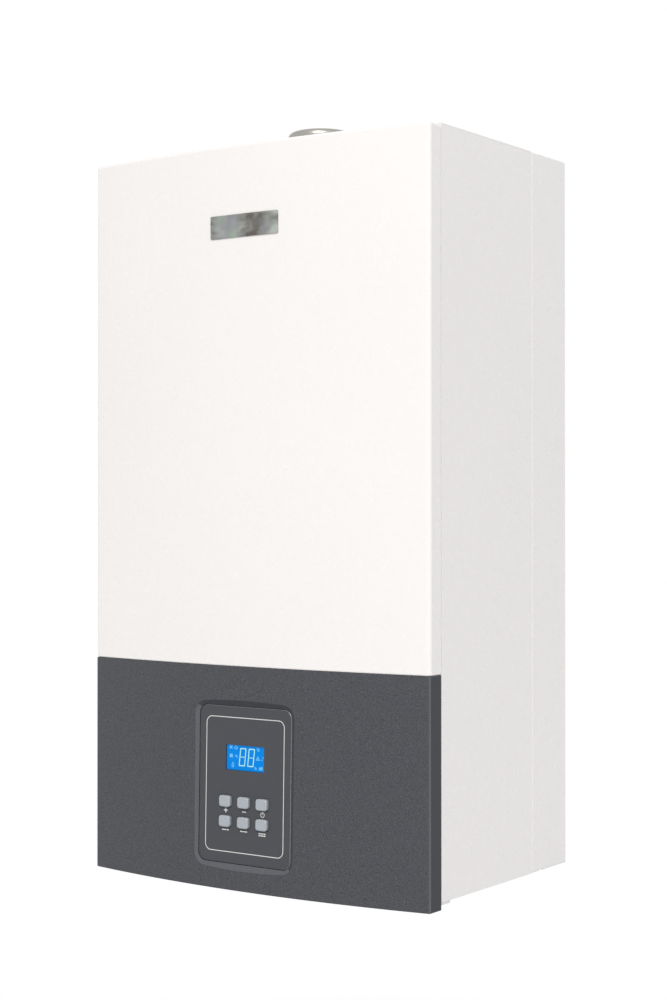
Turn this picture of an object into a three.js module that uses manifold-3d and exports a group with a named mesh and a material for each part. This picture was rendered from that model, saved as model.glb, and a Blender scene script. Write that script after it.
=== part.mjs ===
// Wall-hung gas combi boiler with a fan-assisted flue, built as it comes apart on a bench.
// Millimetres, +Z up, +Y towards the wall, +X to the right of someone facing the boiler.
// Heights are counted from the bottom edge of the lower fascia and depths from the wall. At the end the
// whole boiler is lowered so that the origin lies on the back face of the bracket it hangs from.

import * as THREE from 'three';
import { mergeVertices } from 'three/addons/utils/BufferGeometryUtils.js';
import Module from 'manifold-3d';

// ---- driving dimensions ----

// casing
const caseWidth = 400;
const caseHeight = 712.5;
const caseDepth = 257;
const frontBow = 14;
const fasciaBulge = 4.5;
const frontReturn = 18.6;
const frontEdgeRadius = 8;
const fasciaEdgeRadius = 1.5;
const fasciaHeight = 213;
const fasciaWall = 3;
const frameDepth = 69;
const bodyBottom = 7;
const bodyRise = 1.5;
const sideInset = 0.8;
const sheet = 1.2;
const foldWidth = 14;
const seamGap = 0.8;
const seat = 0.3;
const backPlateInset = 8;
const frameNotchLength = 8;
const frameNotchHeight = 1.6;
const frameNotchDepth = 46;

// wall bracket
const bracketWidth = 300;
const bracketHeight = 40;
const bracketPlate = 2.5;
const bracketInset = 29;
const hookSpacing = 220;
const hookWidth = 30;
const hookRise = 12;
const hookReach = 15;
const wallScrewSpacing = 120;
const wallScrewHole = 9;

// hanging hooks of the front panel
const panelHookSpacing = 250;
const panelHookWidth = 26;
const panelHookDrop = 4;
const panelHookReach = 5;
const panelHookStep = 1;
const hookSlotRoom = 2;

// recess and control plate
const recessWidth = 111.7;
const recessHeight = 146.9;
const recessRadius = 9;
const recessDepth = 4.5;
const recessBevel = 6.4;
const recessCentreHeight = 100;
const recessRim = 5;
const plateFit = 0.35;
const plateThickness = 2.4;
const plateLedge = 3;
const ledgeThickness = 1.5;
const boardGap = 8.6;
const boardThickness = 1.6;
const boardMargin = 8;
const pegRadius = 2.5;
const pegInset = 10;

// display
const displayWidth = 44;
const displayHeight = 23.6;
const displayRise = 26;
const displayInset = 1.5;
const displayBorder = 4;

// buttons
const buttonWidth = 13.4;
const buttonHeight = 11;
const buttonProud = 3;
const buttonEdge = 1;
const buttonRadius = 1.6;
const buttonPitchX = 22;
const buttonPitchZ = 19.1;
const buttonDrop = 24.7;
const buttonFit = 0.3;
const buttonFlange = 1.5;
const buttonFlangeThickness = 1.2;
const buttonTravel = 1.2;
const buttonStem = 2.5;

// control box and its hinge
const boxWidth = 300;
const boxBottom = 18;
const boxTopInset = 13;
const boxTop = fasciaHeight - boxTopInset;
const boxClearance = 9.4;
const boxWall = 3;
const boxFlangeInset = 1;
const boxFlangeBottom = 8;
const hingeHeight = 2;
const hingeSetback = 1.1;
const hingePin = 1.3;
const hingeRunningGap = 0.3;
const hingeLugWall = 1.2;
const hingeLugWidth = 5.5;
const hingeEarWidth = 4;
const hingeInset = 14;
const hingePlateThickness = 2.5;
const hingePlateLength = 21;
const hingePlateDepth = 15;

// nameplate
const nameplateWidth = 81.6;
const nameplateHeight = 22.3;
const nameplateThickness = 0.8;
const nameplateDrop = 78.2;

// flue
const flueFromFront = 113;
const flueFromWall = caseDepth - flueFromFront;
const flueRadius = 33;
const flueWall = 3.5;
const flueBead = 5.5;
const flueRise = 28;
const airGap = 19;

// sealed chamber
const chamberSideGap = 14;
const chamberBottom = 288;
const chamberHeadroom = 14;
const chamberInset = 14.4;
const sightRadius = 13.5;
const sightRim = 4.5;

// burner stack
const stackSideGap = 58;
const stackBack = 86;
const stackInset = 12;
const burnerRise = 12;
const burnerBottom = chamberBottom + burnerRise;
const burnerHeight = 51;
const burnerFlangeHeight = burnerBottom + burnerHeight;
const sightRise = 49;
const sightHeight = burnerFlangeHeight + sightRise;
const burnerSteps = 12;
const burnerBladeWidth = 8;
const burnerBladeRise = 9;
const burnerBladeMargin = 20;
const burnerBodyHeight = 20;
const liningThickness = 12;
const exchangerHeight = 59.5;
const exchangerFinPitch = 22;
const exchangerFinGap = 16;
const exchangerTube = 8;
const gasBarDepth = 14;
const gasBarHeight = 16;
const injectorRadius = 3;
const injectorLength = 8;

// fan
const fanRadius = 50;
const fanWall = 2.5;
const fanDepth = 52;
const fanOffset = 24;
const fanOutletHalf = 26;
const fanHeadroom = 10;
const hoodRise = 28.5;
const fanEye = 24;
const impellerGap = 4;
const impellerBlades = 12;
const shaftRadius = 3;
const shaftGap = 0.8;
const fanMotorRadius = 27;
const fanMotorLength = 34;

// hydraulics
const pipeDepth = 100;
const pipeRadius = 9;
const groupHeight = 62;
const portRadius = 7;
const portWall = 2;
const portMargin = 0.5;
const pumpX = 110;
const pumpRise = 72;
const pumpHeight = groupHeight + pumpRise;
const pumpRadius = 40;
const pumpBodyDepth = 36;
const pumpWall = 7;
const pumpMotorLength = 54;
const exchangerPlateWidth = 184;
const exchangerPlateHeight = 75;
const exchangerPlateDepth = 44;
const exchangerPorts = 72;
const exchangerPortPitch = 17;
const groupRadius = exchangerPortPitch / 2 + portRadius + portWall + portMargin;
const valveWidth = 68;
const valveBottom = 95;
const valveHeight = 65;
const diverterX = -98;
const diverterTravel = 8;
const spindleRadius = 3.5;
const spindleGap = 0.5;
const vesselWidth = 280;
const vesselBottom = 235;
const vesselHeadroom = 35;
const vesselDepth = 48;
const vesselRadius = 40;
const vesselPipeRadius = 5;
const vesselWall = 1.5;
const vesselStubWall = 3;
const vesselStubDrop = 10;
const tailBottom = 14;
const tailNutHeight = 6;
const tailWall = 3.5;
const tailNutRim = 5;
const tailBore = 18;

// the five connections, from left to right
const tailPitch = 65;
const wideTailRadius = 13.2;
const narrowTailRadius = 10.4;
const tails = [
  { name: 'heating_flow_tail', x: -2 * tailPitch, radius: wideTailRadius },
  { name: 'hot_water_tail', x: -tailPitch, radius: narrowTailRadius },
  { name: 'gas_tail', x: 0, radius: wideTailRadius },
  { name: 'cold_water_tail', x: tailPitch, radius: narrowTailRadius },
  { name: 'heating_return_tail', x: 2 * tailPitch, radius: wideTailRadius },
];

// ---- derived places ----

const halfWidth = caseWidth / 2;
const frontRim = -(caseDepth - frontReturn);
const bodyFront = frontRim + seamGap;
const bodyTop = caseHeight + bodyRise;
const sideFace = halfWidth - sideInset;
const panelBack = -(frameDepth + seat);
const lidUnder = bodyTop - sheet;
const sideTop = lidUnder - seat;
const trayUnder = bodyBottom + sheet + seat;
const trayTop = trayUnder + sheet;
const backPlateFace = -(backPlateInset + sheet);
const bracketTop = bodyTop - bracketInset;
const bracketCentre = bracketTop - bracketHeight / 2;
const vesselTop = bracketTop - vesselHeadroom;
const chamberBack = -(frameDepth + seat + sheet);
const chamberHalf = halfWidth - chamberSideGap;
const chamberTop = bodyTop - chamberHeadroom;
const chamberFront = -frontRim - chamberInset;
const stackHalf = chamberHalf - stackSideGap;
const stackFront = chamberFront - stackInset;
const fanOutletTop = chamberTop - fanHeadroom;
const fanCentreHeight = fanOutletTop - fanRadius - 1;
const hoodTop = fanCentreHeight - fanRadius - 1;
const fireboxTop = hoodTop - hoodRise - exchangerHeight;
const hingeCentre = halfWidth - hingeInset;

// ---- shape helpers ----

const wasm = await Module();
wasm.setup();

// A closed solid from a three.js geometry, for joining and cutting.
function solid(geometry) {
  const bare = geometry.index ? geometry.toNonIndexed() : geometry.clone();
  bare.deleteAttribute('normal');
  bare.deleteAttribute('uv');
  const merged = mergeVertices(bare, 1e-4);
  return new wasm.Manifold(new wasm.Mesh({
    numProp: 3,
    vertProperties: merged.attributes.position.array,
    triVerts: new Uint32Array(merged.index.array),
  }));
}

function join(first, ...others) {
  return others.reduce((whole, piece) => whole.add(piece), first);
}

function cut(body, ...tools) {
  return tools.reduce((rest, tool) => rest.subtract(tool), body);
}

// A square funnel between a low and a high rectangle, each [x0, x1, y0, y1].
function funnel(low, lowZ, high, highZ) {
  const geometry = new THREE.BoxGeometry(1, 1, 1);
  const corners = geometry.attributes.position;
  for (let i = 0; i < corners.count; i++) {
    const rectangle = corners.getZ(i) > 0 ? high : low;
    corners.setXYZ(
      i,
      corners.getX(i) > 0 ? rectangle[1] : rectangle[0],
      corners.getY(i) > 0 ? rectangle[3] : rectangle[2],
      corners.getZ(i) > 0 ? highZ : lowZ,
    );
  }
  return solid(geometry);
}

// A block between two limits along each axis, in either order.
function block(x0, x1, y0, y1, z0, z1) {
  const outline = [Math.min(x0, x1), Math.max(x0, x1), Math.min(y0, y1), Math.max(y0, y1)];
  return funnel(outline, Math.min(z0, z1), outline, Math.max(z0, z1));
}

// Round bars along each axis; the first two numbers after the radius are the ends.
function barX(radius, x0, x1, y, z, sides = 20) {
  const geometry = new THREE.CylinderGeometry(radius, radius, Math.abs(x1 - x0), sides);
  geometry.rotateZ(Math.PI / 2);
  geometry.translate((x0 + x1) / 2, y, z);
  return solid(geometry);
}

function barY(radius, y0, y1, x, z, sides = 20) {
  const geometry = new THREE.CylinderGeometry(radius, radius, Math.abs(y1 - y0), sides);
  geometry.translate(x, (y0 + y1) / 2, z);
  return solid(geometry);
}

function barZ(radius, z0, z1, x, y, sides = 20) {
  const geometry = new THREE.CylinderGeometry(radius, radius, Math.abs(z1 - z0), sides);
  geometry.rotateX(Math.PI / 2);
  geometry.translate(x, y, (z0 + z1) / 2);
  return solid(geometry);
}

// A flat shape drawn in plan (x, y), raised between two heights.
function raised(shape, z0, z1, curveSegments = 6) {
  const geometry = new THREE.ExtrudeGeometry(shape, { depth: z1 - z0, bevelEnabled: false, curveSegments });
  geometry.translate(0, 0, z0);
  return geometry;
}

// A flat shape drawn from the front (x, z), made solid between a front and a back depth.
function slab(shape, yFront, yBack, curveSegments = 5) {
  const geometry = new THREE.ExtrudeGeometry(shape, {
    depth: yBack - yFront,
    bevelEnabled: false,
    curveSegments,
  });
  geometry.rotateX(Math.PI / 2);
  geometry.translate(0, yBack, 0);
  return solid(geometry);
}

// A flat shape drawn from the side (y, z), made solid between two widths.
function profile(shape, x0, x1) {
  const geometry = new THREE.ExtrudeGeometry(shape, { depth: x1 - x0, bevelEnabled: false });
  const sideways = new THREE.Matrix4().makeBasis(
    new THREE.Vector3(0, 1, 0),
    new THREE.Vector3(0, 0, 1),
    new THREE.Vector3(1, 0, 0),
  );
  geometry.applyMatrix4(sideways);
  geometry.translate(x0, 0, 0);
  return solid(geometry);
}

function roundedRectangle(centreX, centreZ, width, height, radius) {
  const shape = new THREE.Shape();
  const x = width / 2 - radius;
  const z = height / 2 - radius;
  shape.absarc(centreX + x, centreZ - z, radius, -Math.PI / 2, 0, false);
  shape.absarc(centreX + x, centreZ + z, radius, 0, Math.PI / 2, false);
  shape.absarc(centreX - x, centreZ + z, radius, Math.PI / 2, Math.PI, false);
  shape.absarc(centreX - x, centreZ - z, radius, Math.PI, Math.PI * 1.5, false);
  return shape;
}

// A body turned about an upright axis from [radius, height] pairs.
function turned(pairs, x, y, sides = 24) {
  const geometry = new THREE.LatheGeometry(pairs.map(([r, z]) => new THREE.Vector2(r, z)), sides);
  geometry.rotateX(Math.PI / 2);
  geometry.translate(x, y, 0);
  return solid(geometry);
}

// A tube through a list of corners, each corner rounded by the bend.
function pipe(corners, radius, bend) {
  const points = corners.map((corner) => new THREE.Vector3(...corner));
  const path = new THREE.CurvePath();
  let from = points[0];
  for (let i = 1; i < points.length - 1; i++) {
    const before = points[i].clone().add(points[i - 1].clone().sub(points[i]).setLength(bend));
    const after = points[i].clone().add(points[i + 1].clone().sub(points[i]).setLength(bend));
    path.add(new THREE.LineCurve3(from, before));
    path.add(new THREE.QuadraticBezierCurve3(before, points[i], after));
    from = after;
  }
  path.add(new THREE.LineCurve3(from, points.at(-1)));
  const section = new THREE.Shape().absarc(0, 0, radius, 0, Math.PI * 2, false);
  const steps = Math.ceil(path.getLength() / (2 * radius));
  return solid(new THREE.ExtrudeGeometry(section, { steps, extrudePath: path, curveSegments: 5 }));
}

// ---- materials ----

const finish = (color, roughness, metalness) => ({ color, roughness, metalness });
const finishes = {
  whiteSteel: finish(0xf1efee, 0.35, 0.1),
  darkFascia: finish(0x55575b, 0.45, 0.2),
  darkPlate: finish(0x505256, 0.5, 0.1),
  silver: finish(0xb9bcbb, 0.3, 0.9),
  button: finish(0xbcc4cc, 0.45, 0.2),
  display: finish(0x0584e9, 0.2, 0.0),
  galvanised: finish(0xa9adb0, 0.45, 0.8),
  blackPlastic: finish(0x232426, 0.6, 0.0),
  greyPlastic: finish(0x6c7074, 0.6, 0.0),
  redPlastic: finish(0xb3231d, 0.5, 0.0),
  bluePlastic: finish(0x1f5fa8, 0.5, 0.0),
  circuitGreen: finish(0x1d6b3c, 0.5, 0.0),
  fibre: finish(0xe9e4d8, 0.95, 0.0),
  glass: finish(0xd8e6ea, 0.05, 0.0),
  stainless: finish(0xb4b6b8, 0.3, 0.9),
  copper: finish(0xb87350, 0.35, 0.9),
  brass: finish(0xc2a25a, 0.35, 0.9),
  aluminium: finish(0xaeb1b3, 0.4, 0.8),
  castIron: finish(0x45484b, 0.7, 0.4),
  redPaint: finish(0xa62b22, 0.4, 0.1),
  ceramic: finish(0xeeeae2, 0.4, 0.0),
};

const boiler = new THREE.Group();
const controls = new THREE.Group();
boiler.add(controls);

function add(name, body, finishName, parent = boiler) {
  const mesh = body.getMesh();
  const geometry = new THREE.BufferGeometry();
  geometry.setAttribute('position', new THREE.BufferAttribute(mesh.vertProperties, 3));
  geometry.setIndex(new THREE.BufferAttribute(mesh.triVerts, 1));
  geometry.computeVertexNormals();
  const piece = new THREE.Mesh(geometry, new THREE.MeshStandardMaterial(finishes[finishName]));
  piece.name = name;
  parent.add(piece);
}

// ---- rear frame and wall bracket ----

function makeRearFrame() {
  const inner = halfWidth - sheet;
  const foldInner = inner - foldWidth;
  const shell = cut(
    block(-halfWidth, halfWidth, -frameDepth, 0, bodyBottom, bodyTop),
    block(-inner, inner, -frameDepth - 1, 1, bodyBottom + sheet, bodyTop - sheet),
  );
  const fold = cut(
    block(-halfWidth, halfWidth, -frameDepth, -frameDepth + sheet, bodyBottom, bodyTop),
    block(
      -foldInner, foldInner,
      -frameDepth - 1, -frameDepth + sheet + 1,
      bodyBottom + foldWidth, bodyTop - foldWidth,
    ),
  );
  const back = block(-halfWidth, halfWidth, backPlateFace, -backPlateInset, bodyBottom, bodyTop);
  const slotHalf = (hookWidth + hookSlotRoom) / 2;
  const slotBottom = bracketTop - hookRise - 2 * bracketPlate;
  const slots = [-1, 1].map((side) => block(
    side * hookSpacing / 2 - slotHalf, side * hookSpacing / 2 + slotHalf,
    backPlateFace - 1, -backPlateInset + 1,
    slotBottom, bracketTop + seat,
  ));
  const notches = block(
    -halfWidth - 1, halfWidth + 1,
    -frameNotchDepth - frameNotchLength, -frameNotchDepth,
    bodyBottom - 1, bodyBottom + frameNotchHeight,
  );
  add('rear_frame', cut(join(shell, fold, back), ...slots, notches), 'whiteSteel');
}

function makeWallBracket() {
  const half = bracketWidth / 2;
  let bracket = block(-half, half, -bracketPlate, 0, bracketTop - bracketHeight, bracketTop);
  for (const side of [-1, 1]) {
    const left = side * hookSpacing / 2 - hookWidth / 2;
    const right = left + hookWidth;
    const shelf = block(left, right, -hookReach, 0, bracketTop - bracketPlate, bracketTop);
    const tip = block(
      left, right,
      -hookReach, -hookReach + bracketPlate,
      bracketTop - bracketPlate, bracketTop + hookRise,
    );
    const screw = barY(
      wallScrewHole / 2, -bracketPlate - 1, 1, side * wallScrewSpacing / 2, bracketCentre, 16,
    );
    bracket = cut(join(bracket, shelf, tip), screw);
  }
  add('wall_bracket', bracket, 'galvanised');
}

// ---- outer panels ----

function makeSidePanel(name, side) {
  const outer = side * sideFace;
  const skin = side * (sideFace - sheet);
  const foldEnd = side * (sideFace - foldWidth);
  const panel = join(
    block(skin, outer, bodyFront, panelBack, bodyBottom, sideTop),
    block(foldEnd, outer, bodyFront, bodyFront + sheet, bodyBottom, sideTop),
    block(foldEnd, outer, bodyFront, panelBack, bodyBottom, bodyBottom + sheet),
    block(foldEnd, outer, bodyFront, panelBack, sideTop - sheet, sideTop),
  );
  add(name, panel, 'whiteSteel');
}

function makeTopPanel() {
  const apronHalf = sideFace - foldWidth - seat;
  const slotTop = caseHeight - sheet;
  const slotBottom = slotTop - panelHookStep - panelHookDrop - hookSlotRoom;
  const slots = [-1, 1].map((side) => block(
    side * panelHookSpacing / 2 - panelHookWidth / 2 - hookSlotRoom,
    side * panelHookSpacing / 2 + panelHookWidth / 2 + hookSlotRoom,
    bodyFront - 1, bodyFront + sheet + 1,
    slotBottom, slotTop + hookSlotRoom / 4,
  ));
  const panel = join(
    block(-sideFace, sideFace, bodyFront, panelBack, lidUnder, bodyTop),
    block(-apronHalf, apronHalf, bodyFront, bodyFront + sheet, bodyTop - foldWidth, bodyTop),
  );
  const hole = barZ(flueRadius + airGap, lidUnder - 1, bodyTop + 1, 0, -flueFromWall, 32);
  add('top_panel', cut(panel, hole, ...slots), 'whiteSteel');
}

const fillingOffset = 32;
const fillingX = 2 * tailPitch - fillingOffset;
const fillingDepth = 128;
const fillingStem = 4;
const fillingKnobRadius = 12;
const glandInset = 35;
const glandX = glandInset - halfWidth;
const glandDepth = 200;
const glandRadius = 8;
const runningGap = 2;

function makeBottomPanel() {
  const half = sideFace - sheet - seat;
  const holes = tails.map((tail) => (
    barZ(tail.radius + seat, trayUnder - 1, trayTop + 1, tail.x, -pipeDepth, 20)
  ));
  holes.push(barZ(fillingStem + runningGap, trayUnder - 1, trayTop + 1, fillingX, -fillingDepth, 14));
  holes.push(barZ(glandRadius + seat, trayUnder - 1, trayTop + 1, glandX, -glandDepth, 16));
  const tray = block(-half, half, bodyFront + sheet + seat, panelBack, trayUnder, trayTop);
  add('bottom_panel', cut(tray, ...holes), 'whiteSteel');
}

// The plan outline of the bowed front, its sides ending at the rim; inset moves it inwards all round.
function frontOutline(radius, inset) {
  const half = halfWidth - inset;
  const corner = Math.max(radius - inset, 0.4);
  const edge = -caseDepth + inset;
  const run = half - corner;
  const sag = frontBow * (1 - (run / half) ** 2);
  const steepness = 2 * frontBow * (run / half) ** 2;
  const shape = new THREE.Shape();
  shape.moveTo(half, frontRim + (inset > 0 ? 1 : 0));
  shape.lineTo(-half, frontRim + (inset > 0 ? 1 : 0));
  shape.lineTo(-half, edge + corner);
  shape.quadraticCurveTo(-half, edge - sag / 2, -run, edge - sag);
  shape.quadraticCurveTo(0, edge - sag - steepness, run, edge - sag);
  shape.quadraticCurveTo(half, edge - sag / 2, half, edge + corner);
  return shape;
}

function frontDepthAt(x) {
  return -caseDepth - frontBow * (1 - (x / halfWidth) ** 2);
}

function makeFrontPanel() {
  const bottom = fasciaHeight + seamGap;
  const pan = cut(
    solid(raised(frontOutline(frontEdgeRadius, 0), bottom, caseHeight, 10)),
    solid(raised(frontOutline(frontEdgeRadius, sheet), bottom + sheet, caseHeight - sheet, 10)),
  );
  const hookTop = caseHeight - sheet - panelHookStep + sheet / 2;
  const hookBack = bodyFront + sheet + panelHookReach;
  const hooks = [-1, 1].flatMap((side) => {
    const left = side * panelHookSpacing / 2 - panelHookWidth / 2;
    const right = left + panelHookWidth;
    return [
      block(left, right, frontRim - foldWidth / 2, hookBack, hookTop - sheet, hookTop),
      block(left, right, frontRim - foldWidth / 2, frontRim - 1, hookTop - sheet, caseHeight - sheet / 2),
      block(left, right, hookBack - sheet, hookBack, hookTop - sheet - panelHookDrop, hookTop),
    ];
  });
  add('front_panel', join(pan, ...hooks), 'whiteSteel');
}

function makeNameplate() {
  const half = nameplateWidth / 2;
  const steps = 6;
  const outline = [];
  for (let i = 0; i <= steps; i++) {
    const x = -half + (nameplateWidth * i) / steps;
    outline.push(new THREE.Vector2(x, frontDepthAt(x) - seat - nameplateThickness));
  }
  for (let i = steps; i >= 0; i--) {
    const x = -half + (nameplateWidth * i) / steps;
    outline.push(new THREE.Vector2(x, frontDepthAt(x) - seat));
  }
  const bottom = caseHeight - nameplateDrop - nameplateHeight / 2;
  const plate = solid(raised(new THREE.Shape(outline), bottom, bottom + nameplateHeight));
  add('nameplate', plate, 'silver');
}

// ---- lower fascia, control plate, display and buttons ----

// The fascia leans: its bow grows towards the bottom edge.
const fasciaTilt = Math.atan(fasciaBulge / fasciaHeight);
const recessSurface = -caseDepth - frontBow - fasciaBulge * (1 - recessCentreHeight / fasciaHeight);

function lean(geometry) {
  const places = geometry.attributes.position;
  const frontOnly = -caseDepth + fasciaWall + fasciaEdgeRadius;
  for (let i = 0; i < places.count; i++) {
    const [x, y, z] = [places.getX(i), places.getY(i), places.getZ(i)];
    if (y < frontOnly) {
      const share = (1 - (x / halfWidth) ** 2) * (1 - z / fasciaHeight);
      places.setY(i, y - fasciaBulge * share);
    }
  }
  return geometry;
}

// Turns a body drawn square to the recess, about the middle of the recess, into its leaning place.
function seatInRecess(body) {
  return body.rotate([THREE.MathUtils.radToDeg(-fasciaTilt), 0, 0])
    .translate([0, recessSurface, recessCentreHeight]);
}

const hingeY = frontRim - hingeSetback;
const lugRadius = hingePin + hingeRunningGap + hingeLugWall;

function makeFascia() {
  const shell = cut(
    solid(lean(raised(frontOutline(fasciaEdgeRadius, 0), 0, fasciaHeight, 10))),
    solid(
      lean(raised(frontOutline(fasciaEdgeRadius, fasciaWall), fasciaWall, fasciaHeight - fasciaWall, 10)),
    ),
  );
  const rimWidth = recessWidth + 2 * (recessRim + recessBevel);
  const rimHeight = recessHeight + 2 * (recessRim + recessBevel);
  const ledgeFront = recessDepth + plateThickness + seat;
  const rim = slab(
    roundedRectangle(0, 0, rimWidth, rimHeight, recessRadius + recessRim),
    fasciaWall / 2, ledgeFront + ledgeThickness,
  );
  const mouth = new THREE.ExtrudeGeometry(
    roundedRectangle(0, 0, recessWidth, recessHeight, recessRadius),
    {
      depth: frontBow, bevelThickness: recessDepth,
      bevelSize: recessBevel, bevelSegments: 1, curveSegments: 5,
    },
  );
  mouth.rotateX(Math.PI / 2);
  const well = slab(
    roundedRectangle(0, 0, recessWidth, recessHeight, recessRadius), 0, ledgeFront,
  );
  const window = slab(
    roundedRectangle(
      0, 0, recessWidth - 2 * plateLedge, recessHeight - 2 * plateLedge, recessRadius - plateLedge,
    ),
    0, ledgeFront + ledgeThickness + 1,
  );
  let fascia = cut(
    join(shell, seatInRecess(rim)),
    seatInRecess(solid(mouth)), seatInRecess(well), seatInRecess(window),
  );
  for (const side of [-1, 1]) {
    const lugMiddle = side * (hingeCentre - (hingeEarWidth + 1) / 2);
    const lug = [lugMiddle - hingeLugWidth / 2, lugMiddle + hingeLugWidth / 2];
    const notchFront = hingeY - lugRadius - 1;
    const notch = block(
      side * hingeCentre - hingeLugWidth - hingeEarWidth / 2,
      side * hingeCentre + hingeLugWidth + hingeEarWidth / 2,
      notchFront, frontRim + 1,
      -1, fasciaWall + 1,
    );
    const arm = block(lug[0], lug[1], notchFront - 1, hingeY, 0, fasciaWall);
    const ring = barX(lugRadius, lug[0], lug[1], hingeY, hingeHeight, 16);
    const eye = barX(hingePin + hingeRunningGap, lug[0] - 1, lug[1] + 1, hingeY, hingeHeight, 16);
    fascia = cut(join(cut(fascia, notch), arm, ring), eye);
  }
  add('lower_fascia', fascia, 'darkFascia');
}

function makeHingeBracket(name, side) {
  const earMiddle = side * (hingeCentre + (hingeLugWidth + 1) / 2);
  const ear = [earMiddle - hingeEarWidth / 2, earMiddle + hingeEarWidth / 2];
  const plateTop = bodyBottom - seat;
  const plateFront = bodyFront + sheet;
  const low = hingeHeight - lugRadius + seat;
  const outline = new THREE.Shape([
    new THREE.Vector2(hingeY - lugRadius + hingeRunningGap, hingeHeight - hingePin),
    new THREE.Vector2(hingeY, low),
    new THREE.Vector2(plateFront + hingePlateDepth, plateTop - hingePlateThickness),
    new THREE.Vector2(plateFront + hingePlateDepth, plateTop),
    new THREE.Vector2(hingeY, plateTop),
    new THREE.Vector2(hingeY - lugRadius + hingeRunningGap, hingeHeight + hingePin),
  ]);
  const plate = block(
    side * sideFace, side * (sideFace - hingePlateLength),
    plateFront, plateFront + hingePlateDepth,
    plateTop - hingePlateThickness, plateTop,
  );
  const pin = barX(
    hingePin, earMiddle, earMiddle - side * (hingeEarWidth / 2 + hingeLugWidth), hingeY, hingeHeight, 16,
  );
  add(name, join(profile(outline, ear[0], ear[1]), plate, pin), 'whiteSteel');
}

const plateWidth = recessWidth - 2 * plateFit;
const plateHeight = recessHeight - 2 * plateFit;
const plateBack = recessDepth + plateThickness;
const boardFront = plateBack + boardGap;
const buttonPlaces = [
  { name: 'plus_button', column: -1, row: 0 },
  { name: 'minus_button', column: 0, row: 0 },
  { name: 'power_button', column: 1, row: 0 },
  { name: 'mode_button', column: -1, row: 1 },
  { name: 'info_button', column: 0, row: 1 },
  { name: 'heating_button', column: 1, row: 1 },
].map(({ name, column, row }) => ({
  name,
  x: column * buttonPitchX,
  z: displayRise - displayHeight / 2 - buttonDrop - buttonHeight / 2 - row * buttonPitchZ,
}));

function makeControlPlate() {
  const plate = slab(
    roundedRectangle(0, 0, plateWidth, plateHeight, recessRadius - plateFit), recessDepth, plateBack,
  );
  const pegs = [-1, 1].flatMap((across) => [-1, 1].map((up) => barY(
    pegRadius, recessDepth + 1, boardFront - seat,
    across * (plateWidth / 2 - pegInset), up * (plateHeight / 2 - pegInset), 12,
  )));
  const window = slab(
    roundedRectangle(0, displayRise, displayWidth, displayHeight, 1), recessDepth - 1, plateBack + 1, 2,
  );
  const holes = buttonPlaces.map(({ x, z }) => slab(
    roundedRectangle(x, z, buttonWidth + 2 * buttonFit, buttonHeight + 2 * buttonFit, buttonRadius),
    recessDepth - 1, plateBack + 1, 3,
  ));
  add('control_plate', cut(join(plate, ...pegs), window, ...holes), 'darkPlate', controls);
}

function makeDisplay() {
  const glass = slab(
    roundedRectangle(0, displayRise, displayWidth - 2 * seat, displayHeight - 2 * seat, 1),
    recessDepth + displayInset, plateBack + seat + 1, 2,
  );
  const body = block(
    -displayWidth / 2 - displayBorder, displayWidth / 2 + displayBorder,
    plateBack + seat, boardFront - seat,
    displayRise - displayHeight / 2 - displayBorder, displayRise + displayHeight / 2 + displayBorder,
  );
  add('display_module', join(glass, body), 'display', controls);
}

function makeCircuitBoard() {
  const board = block(
    -plateWidth / 2 + boardMargin, plateWidth / 2 - boardMargin,
    boardFront, boardFront + boardThickness,
    -plateHeight / 2 + boardMargin, plateHeight / 2 - boardMargin,
  );
  add('circuit_board', board, 'circuitGreen', controls);
}

function makeButton({ name, x, z }) {
  const capLength = buttonProud + plateThickness + seat;
  const cap = new THREE.ExtrudeGeometry(
    roundedRectangle(
      0, 0, buttonWidth - 2 * buttonEdge, buttonHeight - 2 * buttonEdge, buttonRadius - buttonEdge / 2,
    ),
    {
      depth: capLength - buttonEdge,
      bevelThickness: buttonEdge,
      bevelSize: buttonEdge,
      bevelSegments: 2,
      curveSegments: 2,
    },
  );
  cap.rotateX(Math.PI / 2);
  cap.translate(x, recessDepth - buttonProud + capLength, z);
  const flangeFront = plateBack + seat;
  const flangeBack = flangeFront + buttonFlangeThickness;
  const halfX = buttonWidth / 2 + buttonFlange;
  const halfZ = buttonHeight / 2 + buttonFlange;
  const flange = block(x - halfX, x + halfX, flangeFront, flangeBack, z - halfZ, z + halfZ);
  const stem = barY(buttonStem, flangeFront, boardFront - buttonTravel - seat, x, z, 12);
  const front = block(
    x - buttonWidth, x + buttonWidth,
    0, flangeBack,
    z - buttonHeight, z + buttonHeight,
  );
  add(name, join(solid(cap).intersect(front), flange, stem), 'button', controls);
}

function makeControlBox() {
  const half = boxWidth / 2;
  const flangeHalf = halfWidth - fasciaWall - seat;
  const flangeBack = frontRim - boxFlangeInset;
  const flange = block(
    -flangeHalf, flangeHalf,
    flangeBack - boxWall, flangeBack,
    boxFlangeBottom, fasciaHeight - fasciaWall - seat,
  );
  const boxBack = -(valveFront + coilLength + boxClearance);
  const well = block(-half, half, flangeBack - boxWall, boxBack, boxBottom, boxTop);
  const hollow = block(
    -half + boxWall, half - boxWall,
    flangeBack - boxWall - 1, boxBack - boxWall,
    boxBottom + boxWall, boxTop - boxWall,
  );
  add('control_box', cut(join(flange, well), hollow), 'blackPlastic');
}

// ---- sealed chamber ----

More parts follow.
